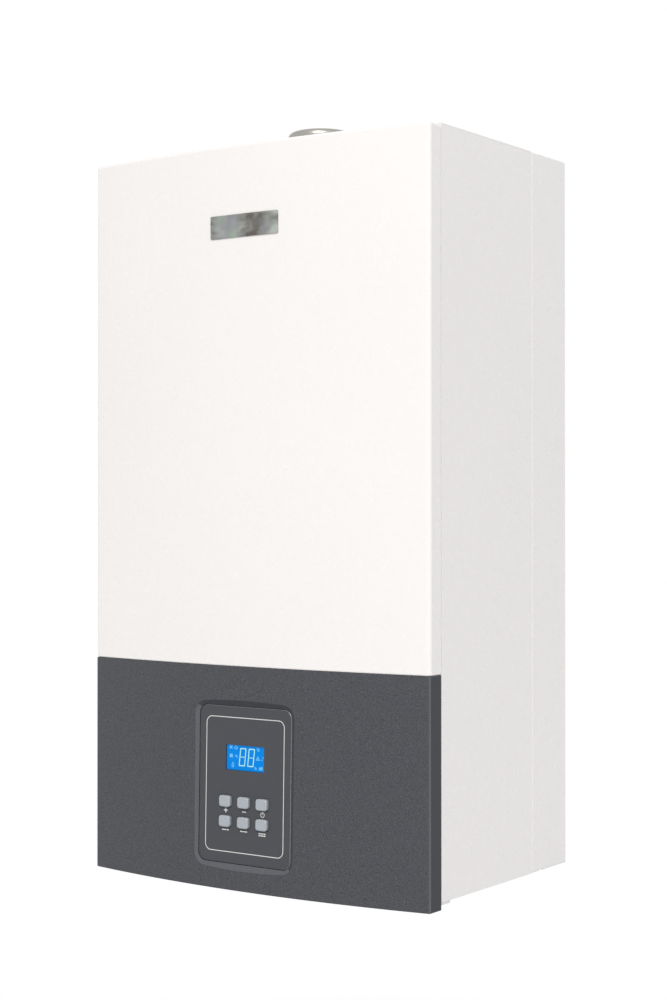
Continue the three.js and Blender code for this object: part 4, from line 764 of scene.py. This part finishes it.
def makeBorderLine(s):
    w, h, r, line, depth = s["width"], s["height"], s["radius"], s["line"], recess["depth"]
    front = depth - s["raised"]
    outer = roundedSlab(w + line, h + line, r + line / 2, front, depth + 0.05, segments=10)
    inner = roundedSlab(w - line, h - line, r - line / 2, front - 1, depth + 1, segments=10)
    finishPiece(carved(outer, [inner]), "borderLine", "control_box", printSilver,
                place=toRecess)


makeBorderLine(border)

display = dict(width=45.2, height=23.6, corner=0.7, front=4.5, back=8.2, border=4, bodyBack=15.2)


def makeDisplay(s):
    x, z = plate["windowWidth"] / 2 + s["border"], plate["windowHeight"] / 2 + s["border"]
    middle = plate["windowCentre"]
    pane = roundedSlab(s["width"], s["height"], s["corner"], s["front"], s["back"], 0, middle, 3)
    bodyBlock = box(-x, x, plate["back"] + 0.3, s["bodyBack"], middle - z, middle + z, 0.5)
    finishPiece(joined(pane, bodyBlock), "displayPanel", "control_box", displayBlue,
                ["display_module"], toRecess)


makeDisplay(display)

# a bar is (left, right, low, high) and a ring (width, height, stroke, corner, x, z), all from the
# window's middle
signs = dict(
    raised=0.05, sunk=0.03, digitHeight=17.3, digitWidth=7.4, digitCorner=0.9, stroke=1.0, lean=0.10,
    centre=0.9, digits=(-3.7, 6.5), toolHalf=2.1, toolThin=0.4, toolTurn=0.75, toolX=-17.7, toolZ=9.7,
    rings=((3.6, 3.6, 0.6, 1.75, -11.7, 9.5), (2.4, 3.0, 0.6, 1.15, 15.0, 9.0),
           (0.9, 0.9, 0.3, 0.42, 12.9, 10.2)),
    ribs=4, ribX=-19.2, ribPitch=0.95, ribWidth=0.65, ribLow=-0.2, ribHigh=3.2,
    radiator=((-19.3, -15.6, 0.2, 0.7), (-19.3, -15.6, 2.3, 2.8)),
    tap=((-12.9, -10.0, 1.1, 1.9), (-11.9, -11.2, 1.9, 2.5), (-10.6, -9.9, -0.4, 1.4)),
    noticeX=14.6, noticeZ=0.4, noticeOuter=2.7, noticeInner=1.6, noticeMark=(14.35, 14.85, -0.3, 0.8),
    sparks=((20.2, 20.8, 0.8, 2.6), (18.4, 19.0, -0.9, -0.1), (19.4, 20.0, -0.6, 0.2)),
    flame=(2.7, 5.0, 0.65, 1.3, -15.3, -7.0), flameShoulder=-6.2, flameTaper=2.2, flameTip=0.12,
    marks=((11.2, 12.0, -9.9, -7.2), (12.5, 13.2, -9.9, -8.4)),
    levels=3, levelX=16.2, levelPitch=1.5, levelWidth=1.0, levelLow=-10.0, levelHigh=-7.4, levelRise=0.3)


def outlineRing(width, height, stroke, corner, x, z, front, back):
    outer = roundedSlab(width, height, corner, front, back, segments=3)
    inside = max(corner - stroke, 0.15)
    inner = roundedSlab(width - 2 * stroke, height - 2 * stroke, inside, front - 1, back + 1, segments=3)
    bm = carved(outer, [inner])
    move(bm, x, 0, z)
    return bm


def makeDisplaySigns(s):
    front, back = display["front"] - s["raised"], display["front"] + s["sunk"]
    middle = plate["windowCentre"]
    half = (s["digitHeight"] + s["stroke"]) / 2
    digits = []
    for x in s["digits"]:
        for up in (-1, 1):
            z = up * (half - s["stroke"]) / 2
            digits.append(outlineRing(s["digitWidth"], half, s["stroke"], s["digitCorner"], x, z,
                                      front, back))
    bm = joined(*digits)
    for vert in bm.verts:
        vert.co.x += vert.co.z * s["lean"]
        vert.co.z += middle + s["centre"]
    finishPiece(bm, "displayDigits", "control_box", digitInk, (), toRecess)

    small = []
    for turn in (-1, 1):  # crossed tools
        tool = box(-s["toolHalf"], s["toolHalf"], front, back, -s["toolThin"], s["toolThin"])
        spin = Matrix.Rotation(turn * s["toolTurn"], 3, "Y")
        bmesh.ops.rotate(tool, verts=tool.verts, cent=(0, 0, 0), matrix=spin)
        move(tool, s["toolX"], 0, s["toolZ"])
        small.append(tool)
    small += [outlineRing(*ring, front, back) for ring in s["rings"]]
    bars = [*s["radiator"], *s["tap"], s["noticeMark"], *s["sparks"], *s["marks"]]
    for i in range(s["ribs"]):
        left = s["ribX"] + i * s["ribPitch"]
        bars.append((left, left + s["ribWidth"], s["ribLow"], s["ribHigh"]))
    for i in range(s["levels"]):
        left = s["levelX"] + i * s["levelPitch"]
        bars.append((left, left + s["levelWidth"], s["levelLow"], s["levelHigh"] + s["levelRise"] * i))
    small += [box(x0, x1, front, back, z0, z1) for x0, x1, z0, z1 in bars]
    notice = []
    for radius, depth in ((s["noticeOuter"], back - front), (s["noticeInner"], 2)):
        triangle = newPart()
        bmesh.ops.create_cone(triangle, cap_ends=True, segments=3, radius1=radius, radius2=radius,
                              depth=depth)
        upright = Matrix.Rotation(math.pi / 2, 4, "X")
        triangle.transform(Matrix.Translation((s["noticeX"], (front + back) / 2, s["noticeZ"])) @ upright)
        notice.append(triangle)
    small.append(carved(notice[0], notice[1:]))
    flame, middleX, shoulder = outlineRing(*s["flame"], front, back), s["flame"][4], s["flameShoulder"]
    for vert in flame.verts:
        if vert.co.z > shoulder:
            narrow = max(s["flameTip"], 1 - (vert.co.z - shoulder) / s["flameTaper"])
            vert.co.x = middleX + (vert.co.x - middleX) * narrow
    small.append(flame)
    bm = joined(*small)
    move(bm, 0, 0, middle)
    finishPiece(bm, "displaySigns", "control_box", signInk, (), toRecess)


makeDisplaySigns(signs)

button = dict(width=13.4, height=11, corner=2.9, proud=3.2, edge=1.5, flange=1.5, flangeFront=7.2,
              flangeBack=8.4, stemRadius=2.5, stemBack=14.0)


def makeButton(name, row, column, s):
    x, z = buttonPlace(row, column)
    front = recess["depth"] - s["proud"]
    cap = roundedSlab(s["width"], s["height"], s["corner"], front, s["flangeFront"], segments=6)
    roundEdges(cap, frontEdges(cap, front + 0.1), s["edge"], 6)
    wide, high = s["width"] / 2 + s["flange"], s["height"] / 2 + s["flange"]
    flange = box(-wide, wide, s["flangeFront"] - 0.1, s["flangeBack"], -high, high, 0.25)
    stem = bar("Y", s["stemRadius"], s["flangeBack"] - 0.1, s["stemBack"], 0, 0, 0.3, 20)
    bm = joined(cap, flange, stem)
    move(bm, x, 0, z)
    finishPiece(bm, name + "Cap", name, buttonSilver, [name], toRecess)


for row, names in enumerate(buttonNames):
    for column, name in enumerate(names):
        makeButton(name, row, column, button)

labels = dict(raised=0.06, under=8.8, signSize=4.5, stroke=0.9, ringSize=5.0, ringDrop=0.8,
              lineLength=8.6, lineHeight=0.5)


def makeLabels(s):
    front, back = recess["depth"] - s["raised"], recess["depth"] + 0.05
    half, thin = s["signSize"] / 2, s["stroke"] / 2

    def dash(x, z, wide, high):
        return box(x - wide, x + wide, front, back, z - high, z + high)

    places = [buttonPlace(0, column) for column in range(3)]
    (plusX, level), (minusX, _), (powerX, _) = [(x, z - s["under"]) for x, z in places]
    parts = [carved(dash(plusX, level, half, thin), [dash(plusX, level, thin, half)], "UNION"),
             dash(minusX, level, half, thin)]
    low = level - s["ringDrop"]
    ring = outlineRing(s["ringSize"], s["ringSize"], 0.6, s["ringSize"] / 2 - 0.05, powerX, low, front, back)
    gap = box(powerX - 0.75, powerX + 0.75, front - 1, back + 1, low + 0.9, low + 4)
    parts += [carved(ring, [gap]), box(powerX - 0.32, powerX + 0.32, front, back, low + 0.3, low + 3.0)]
    for column, rows in ((0, 1), (1, 1), (2, 2)):
        x, z = buttonPlace(1, column)
        for i in range(rows):
            level = z - s["under"] + 0.5 - i * 1.9
            for k in range(3):
                left = x - s["lineLength"] / 2 + k * s["lineLength"] / 3
                parts.append(box(left, left + s["lineLength"] / 3 - 0.45, front, back,
                                 level - s["lineHeight"], level + s["lineHeight"]))
    finishPiece(joined(*parts), "buttonSigns", "control_box", printSilver, (), toRecess)


makeLabels(labels)
print("control plate made")


# ---------- casing: sides, top, rear frame, bottom ----------

shell = dict(bottom=7, top=714, side=200, front=-237.6, rear=-69.3, frameDepth=69, sheet=1.2, fold=14,
             frontRadius=2.5, cornerRadius=1.6, sideRadius=2)


def makeSidePanel(side, name):
    s = shell
    top = s["top"] - s["sheet"] - 0.05
    face, lip, sheet = side * s["side"], side * (s["side"] - s["fold"]), s["sheet"]
    front, rear, bottom = s["front"], s["rear"], s["bottom"]
    skin = box(side * (s["side"] - sheet), face, front, rear, bottom, top)
    folds = [box(lip, face, front, front + sheet, bottom, top),
             box(lip, face, front, rear, bottom, bottom + sheet),
             box(lip, face, front, rear, top - sheet, top)]
    bm = carved(skin, folds, "UNION")
    outer = [e for e in frontEdges(bm, front + 0.1) if all(abs(v.co.x - face) < 0.01 for v in e.verts)]
    roundEdges(bm, outer, s["sideRadius"], 4)
    roundEdges(bm, [e for e in sharpEdges(bm) if e.calc_length() > 50], 0.2)
    finishPiece(bm, name + "Shaped", "casing", powderWhite, [name])


makeSidePanel(-1, "side_panel_left")
makeSidePanel(1, "side_panel_right")

topHole = dict(radius=52, y=-144, slotX=125, slotHalf=15, slotLow=704.3, slotHigh=711.8)


def makeTopPanel():
    s = shell
    under = s["top"] - s["sheet"]
    lid = box(-s["side"], s["side"], s["front"], s["rear"], under, s["top"])
    half = s["side"] - s["fold"] - 0.3
    apron = box(-half, half, s["front"], s["front"] + s["sheet"], s["top"] - s["fold"], s["top"])
    bm = carved(lid, [apron], "UNION")
    slots = []
    for x in (-topHole["slotX"], topHole["slotX"]):
        slots.append(box(x - topHole["slotHalf"], x + topHole["slotHalf"], s["front"] - 1, s["front"] + 3,
                         topHole["slotLow"], topHole["slotHigh"]))
    hole = bar("Z", topHole["radius"], under - 2, s["top"] + 2, 0, topHole["y"], 0, 96)
    bm = carved(bm, [hole, *slots])
    upper = [e for e in sharpEdges(bm) if all(abs(v.co.z - s["top"]) < 0.01 for v in e.verts)]
    roundEdges(bm, upper, 0.5, 3)
    finishPiece(bm, "topPanelShaped", "casing", powderWhite, ["top_panel"])


makeTopPanel()


def makeRearFrame():
    s = shell
    half = halfWidth
    bm = box(-half, half, -s["frameDepth"], 0, s["bottom"], s["top"])
    roundEdges(bm, [e for e in bm.edges if span(e, 1) > 1], s["cornerRadius"], 3)
    loop = [e for e in bm.edges if all(v.co.y < 1 - s["frameDepth"] for v in e.verts)]
    roundEdges(bm, loop, s["frontRadius"], 5)
    # the front is folded inwards and its bend catches the light along the seam; the rear is open
    bmesh.ops.delete(bm, geom=[f for f in bm.faces if abs(f.normal.y) > 0.99], context="FACES")
    thickened(bm, s["sheet"])
    edge, lip, sheet = s["frontRadius"], s["fold"], s["sheet"]
    low, high, front = s["bottom"], s["top"], -s["frameDepth"]
    fold = box(edge - half, half - edge, front, sheet - s["frameDepth"], low + edge, high - edge)
    fold = carved(fold, [box(lip - half, half - lip, front - 1, 0, low + lip, high - lip)])
    bm = carved(bm, [box(-half - 1, half + 1, -54, -46, low - 1, low + 1.6)])
    back = box(-half + sheet, half - sheet, -9.2, -8, low + sheet, high - sheet)
    back = carved(back, [box(x - 16, x + 16, -11, -6, 668, 685.3) for x in (-110, 110)])
    finishPiece(joined(bm, fold, back), "rearFrameShaped", "casing", powderWhite,
                ["rear_frame"])


makeRearFrame()
softened("bottom_panel", "casing", powderWhite, 0.3)
softened("wall_bracket", "casing", zincSheet, 0.4)
print("casing made")


# ---------- flue collar ----------

collar = dict(y=-144, bottom=690.3, top=742, outer=33, bore=29.5, bead=5.5, lip=26, flange=33.3)


def makeCollar(s):
    centre = s["outer"] - s["bead"]
    high = s["top"] - s["bead"]
    outline = [(s["bore"], s["bottom"]), (s["outer"], s["bottom"]), (s["outer"], high)]
    for i in range(1, 13):
        angle = i * math.pi / 2 / 12
        outline.append((centre + s["bead"] * math.cos(angle), high + s["bead"] * math.sin(angle)))
    lip, top, bore, reach = s["lip"], s["top"], s["bore"], s["flange"]
    outline += [(lip + 0.5, top - 0.5), (lip, top - 1.6), (lip + 0.4, top - 2.4), (centre, top - 2.0),
                (bore - 0.3, top - 5), (bore, top - 11), (bore, s["bottom"])]
    ring = lathe(outline, 0, s["y"], 96)
    flange = box(-reach, reach, s["y"] - reach, s["y"] + reach, s["bottom"], s["bottom"] + 2.4)
    flange = carved(flange, [bar("Z", s["bore"] + 1, s["bottom"] - 2, s["bottom"] + 5, 0, s["y"], 0, 96)])
    roundEdges(flange, [e for e in sharpEdges(flange) if e.calc_length() > 20], 0.4, 2)
    finishPiece(joined(ring, flange), "flueCollar", "casing", stainless, ["flue_collar"])


makeCollar(collar)


# ---------- under the casing: tails, gland, filling knob ----------

tails = dict(y=-100, end=-14, wall=3.5, boreTop=4, nutBottom=2.2, nutTop=8.2, collarBottom=10, collarTop=16,
             threadTop=1.2, pitch=1.8, threadDepth=0.45)
# each tail's node, its x, its radius and its top
tailList = [("heating_flow_tail", -130, 13.2, 43.7), ("hot_water_tail", -65, 10.4, 43.7),
            ("gas_tail", 0, 13.2, 94.7), ("cold_water_tail", 65, 10.4, 43.7),
            ("heating_return_tail", 130, 13.2, 43.7)]


def hexNut(radius, bottom, top, x, y, edge):
    bm = newPart()
    bmesh.ops.create_cone(bm, cap_ends=True, segments=6, radius1=radius, radius2=radius, depth=top - bottom)
    bmesh.ops.rotate(bm, verts=bm.verts, cent=(0, 0, 0), matrix=Matrix.Rotation(math.pi / 6, 3, "Z"))
    move(bm, x, y, (top + bottom) / 2)
    narrow = radius * 0.9
    chamfer = lathe([(0, bottom), (narrow, bottom), (radius, bottom + edge * 2), (radius, top - edge * 2),
                     (narrow, top), (0, top)], x, y, 48)
    return carved(bm, [chamfer], "INTERSECT")


def makeTail(name, x, radius, top, s):
    bore = radius - s["wall"]
    outline = [(0, s["boreTop"]), (bore, s["boreTop"]), (bore, s["end"] + 0.5), (bore + 0.5, s["end"]),
               (radius - 0.9, s["end"])]
    z = s["end"] + 0.6
    while z < s["threadTop"] - s["pitch"]:
        outline += [(radius - s["threadDepth"], z), (radius, z + s["pitch"] * 0.45)]
        z += s["pitch"]
    root, wide = radius - s["threadDepth"], radius + s["wall"]
    outline += [(root, z), (root, s["threadTop"] + 0.5), (radius, s["threadTop"] + 1.0),
                (radius, s["collarBottom"]), (wide, s["collarBottom"]), (wide, s["collarTop"]),
                (radius, s["collarTop"]), (radius, top), (0, top)]
    bm = lathe(outline, x, s["y"], 48)
    nut = hexNut(radius + 5, s["nutBottom"], s["nutTop"], x, s["y"], 0.6)
    finishPiece(joined(bm, nut), name + "Turned", "casing", brass, [name], sharp=28)


for name, x, radius, top in tailList:
    makeTail(name, x, radius, top, tails)

gland = dict(x=-165, y=-200, radius=8, bore=4, bottom=-5.5, top=13.7, nutBottom=2.2, nutTop=8.2,
             lockBottom=10, lockTop=13)


def makeGland(s):
    bore, radius, low, high = s["bore"], s["radius"], s["bottom"], s["top"]
    body = lathe([(bore, low + 1), (bore + 1, low), (radius - 2.2, low), (radius - 0.8, low + 1.2),
                  (radius, low + 4), (radius, high - 0.5), (radius - 0.5, high), (bore + 0.5, high),
                  (bore, high - 0.5), (bore, low + 1)], s["x"], s["y"], 48)
    nuts = []
    for low, high in ((s["nutBottom"], s["nutTop"]), (s["lockBottom"], s["lockTop"])):
        nut = hexNut(s["radius"] + 4, low, high, s["x"], s["y"], 0.5)
        hole = bar("Z", s["radius"] - 0.2, low - 1, high + 1, s["x"], s["y"], 0, 48)
        nuts.append(carved(nut, [hole]))
    finishPiece(joined(body, *nuts), "cableGlandTurned", "casing", blackPlastic,
                ["cable_gland"])


makeGland(gland)

knob = dict(x=98, y=-128, radius=12, top=5, stem=4, stemTop=19.4, ribs=18)


def makeFillingKnob(s):
    x, y, radius, top = s["x"], s["y"], s["radius"], s["top"]
    wheel = lathe([(0, top - 8), (radius - 1, top - 8), (radius, top - 7), (radius, top - 1),
                   (radius - 1, top), (s["stem"], top), (s["stem"], s["stemTop"]), (0, s["stemTop"])],
                  x, y, 72)
    flutes = []
    for i in range(s["ribs"]):
        angle = i * math.tau / s["ribs"]
        fluteX, fluteY = x + radius * math.cos(angle), y + radius * math.sin(angle)
        flutes.append(bar("Z", 0.7, top - 9, top + 1, fluteX, fluteY, 0, 12))
    wheel = carved(wheel, [joined(*flutes)])
    reach = radius * 0.88
    grip = box(x - reach, x + reach, y - 3, y + 3, top - 17, top - 7, 1.2, 4)
    finishPiece(joined(wheel, grip), "fillingKnobShaped", "filling_knob", bluePlastic,
                ["filling_knob"])


makeFillingKnob(knob)
print("connections made")


# ---------- inside: finished copies of the CAD pieces ----------

insideFinish = {
    "brass": (brass, 0.5, ["flow_group", "return_group", "air_vent", "safety_valve"]),
    "copper": (copper, 0.0, ["flow_pipe", "return_pipe", "vessel_pipe", "heat_exchanger"]),
    "stainless_steel": (stainless, 0.3, ["plate_heat_exchanger", "burner", "combustion_chamber",
                                         "diverter_spindle"]),
    "zinc_sheet": (zincSheet, 0.3, ["sealed_chamber", "chamber_cover"]),
    "cast_aluminium": (castAluminium, 0.6, ["gas_manifold", "flue_hood", "fan_housing", "fan_impeller",
                                            "gas_valve", "gas_pipe"]),
    "cast_iron": (castIron, 0.8, ["fan_motor", "pump_body"]),
    "red_paint": (redEnamel, 1.2, ["pump_motor", "expansion_vessel"]),
    "grey_plastic": (greyPlastic, 0.8, ["air_pressure_switch", "pump_rotor", "diverter_motor"]),
    "red_plastic": (redPlastic, 0.8, ["safety_valve_knob"]),
    "black_plastic": (blackPlastic, 0.6, ["control_box"]),
    "circuit_green": (circuitGreen, 0.1, ["circuit_board"]),
    "fibre_board": (fibreBoard, 0.5, ["insulation_lining"]),
    "clear_glass": (clearGlass, 0.4, ["sight_glass"]),
    "white_ceramic": (ceramicWhite, 0.2, ["ignition_electrode"]),
}
# the rest of them ride on the casing
ownBody = dict(diverter_spindle="diverter_spindle", fan_impeller="fan_impeller", pump_rotor="pump_rotor",
               safety_valve_knob="safety_valve_knob", control_box="control_box", circuit_board="control_box")
for slotName, (material, edge, nodes) in insideFinish.items():
    for node in nodes:
        softened(node, ownBody.get(node, "casing"), material, edge)
print("inside finished")


# ---------- floor, light and camera ----------

room = dict(floorLevel=-1.42, floorRadius=2.6, worldLight=0.56, keyPower=236, sidePower=3)


def makeFloor(s):
    bm = newPart()
    bmesh.ops.create_circle(bm, cap_ends=True, segments=96, radius=s["floorRadius"])
    move(bm, 0, 0, s["floorLevel"])
    floor = placed("floor", asMesh(bm))
    f = Finish("paleFloor", tone(240, 240, 240), 0.8)
    output = f.nodes["Material Output"]
    distance = f.nodes.new("ShaderNodeVectorMath")
    distance.operation = "LENGTH"
    f.links.new(f.stretched((1, 1, 0)), distance.inputs[0])
    white = f.nodes.new("ShaderNodeEmission")
    white.inputs["Color"].default_value = (1, 1, 1, 1)
    rays = f.nodes.new("ShaderNodeLightPath")
    fade = f.mapped(distance.outputs["Value"], s["floorRadius"] * 0.35, s["floorRadius"] * 0.9)
    both = f.nodes.new("ShaderNodeMath")
    both.operation = "MULTIPLY"
    f.links.new(fade, both.inputs[0])
    f.links.new(rays.outputs["Is Camera Ray"], both.inputs[1])
    mix = f.nodes.new("ShaderNodeMixShader")
    f.links.new(both.outputs[0], mix.inputs[0])
    f.links.new(f.shader.outputs[0], mix.inputs[1])
    f.links.new(white.outputs[0], mix.inputs[2])
    f.links.new(mix.outputs[0], output.inputs["Surface"])
    floor.data.materials.append(f.material)


def makeWorld(s):
    world = bpy.data.worlds.new("studio")
    bpy.context.scene.world = world
    world.use_nodes = True
    nodes, links = world.node_tree.nodes, world.node_tree.links
    soft = nodes["Background"]
    soft.inputs["Color"].default_value = (0.97, 0.985, 1, 1)
    soft.inputs["Strength"].default_value = s["worldLight"]
    white = nodes.new("ShaderNodeBackground")
    white.inputs["Color"].default_value = (1, 1, 1, 1)
    rays = nodes.new("ShaderNodeLightPath")
    seen = rays.outputs["Is Camera Ray"]
    for ray in ("Is Glossy Ray", "Is Transmission Ray"):
        more = nodes.new("ShaderNodeMath")
        more.operation = "MAXIMUM"
        links.new(seen, more.inputs[0])
        links.new(rays.outputs[ray], more.inputs[1])
        seen = more.outputs[0]
    mix = nodes.new("ShaderNodeMixShader")
    links.new(seen, mix.inputs[0])
    links.new(soft.outputs[0], mix.inputs[1])
    links.new(white.outputs[0], mix.inputs[2])
    links.new(mix.outputs[0], nodes["World Output"].inputs["Surface"])


def makeLamp(name, place, target, size, power, color=(1, 1, 1)):
    light = bpy.data.lights.new(name, "AREA")
    light.shape = "RECTANGLE"
    light.size, light.size_y = size
    light.energy = power
    light.color = color
    lamp = placed(name, light)
    lamp.location = place
    lamp.rotation_euler = (Vector(target) - Vector(place)).to_track_quat("-Z", "Y").to_euler()


makeFloor(room)
makeWorld(room)
makeLamp("keyLamp", (2.2, -4.3, 3.4), (0, -0.2, -0.3), (2.8, 2.8), room["keyPower"], (1, 0.955, 0.92))
makeLamp("sideLamp", (3.0, -0.6, -0.9), (0.1, -0.1, -0.3), (1.6, 1.6), room["sidePower"])

view = dict(place=(1.0931, -1.6878, -0.3026), azimuth=34.92, pitch=0.31, roll=0.02, lens=67.57, sensor=36)


def makeCamera(s):
    data = bpy.data.cameras.new("photoCamera")
    data.lens = s["lens"]
    data.sensor_width = s["sensor"]
    data.clip_start = 0.05
    camera = placed("photoCamera", data)
    camera.location = s["place"]
    camera.rotation_euler = [math.radians(a) for a in (90 + s["pitch"], s["roll"], s["azimuth"])]
    bpy.context.scene.camera = camera


makeCamera(view)
bpy.context.scene.view_settings.view_transform = "Standard"
print("stage ready")
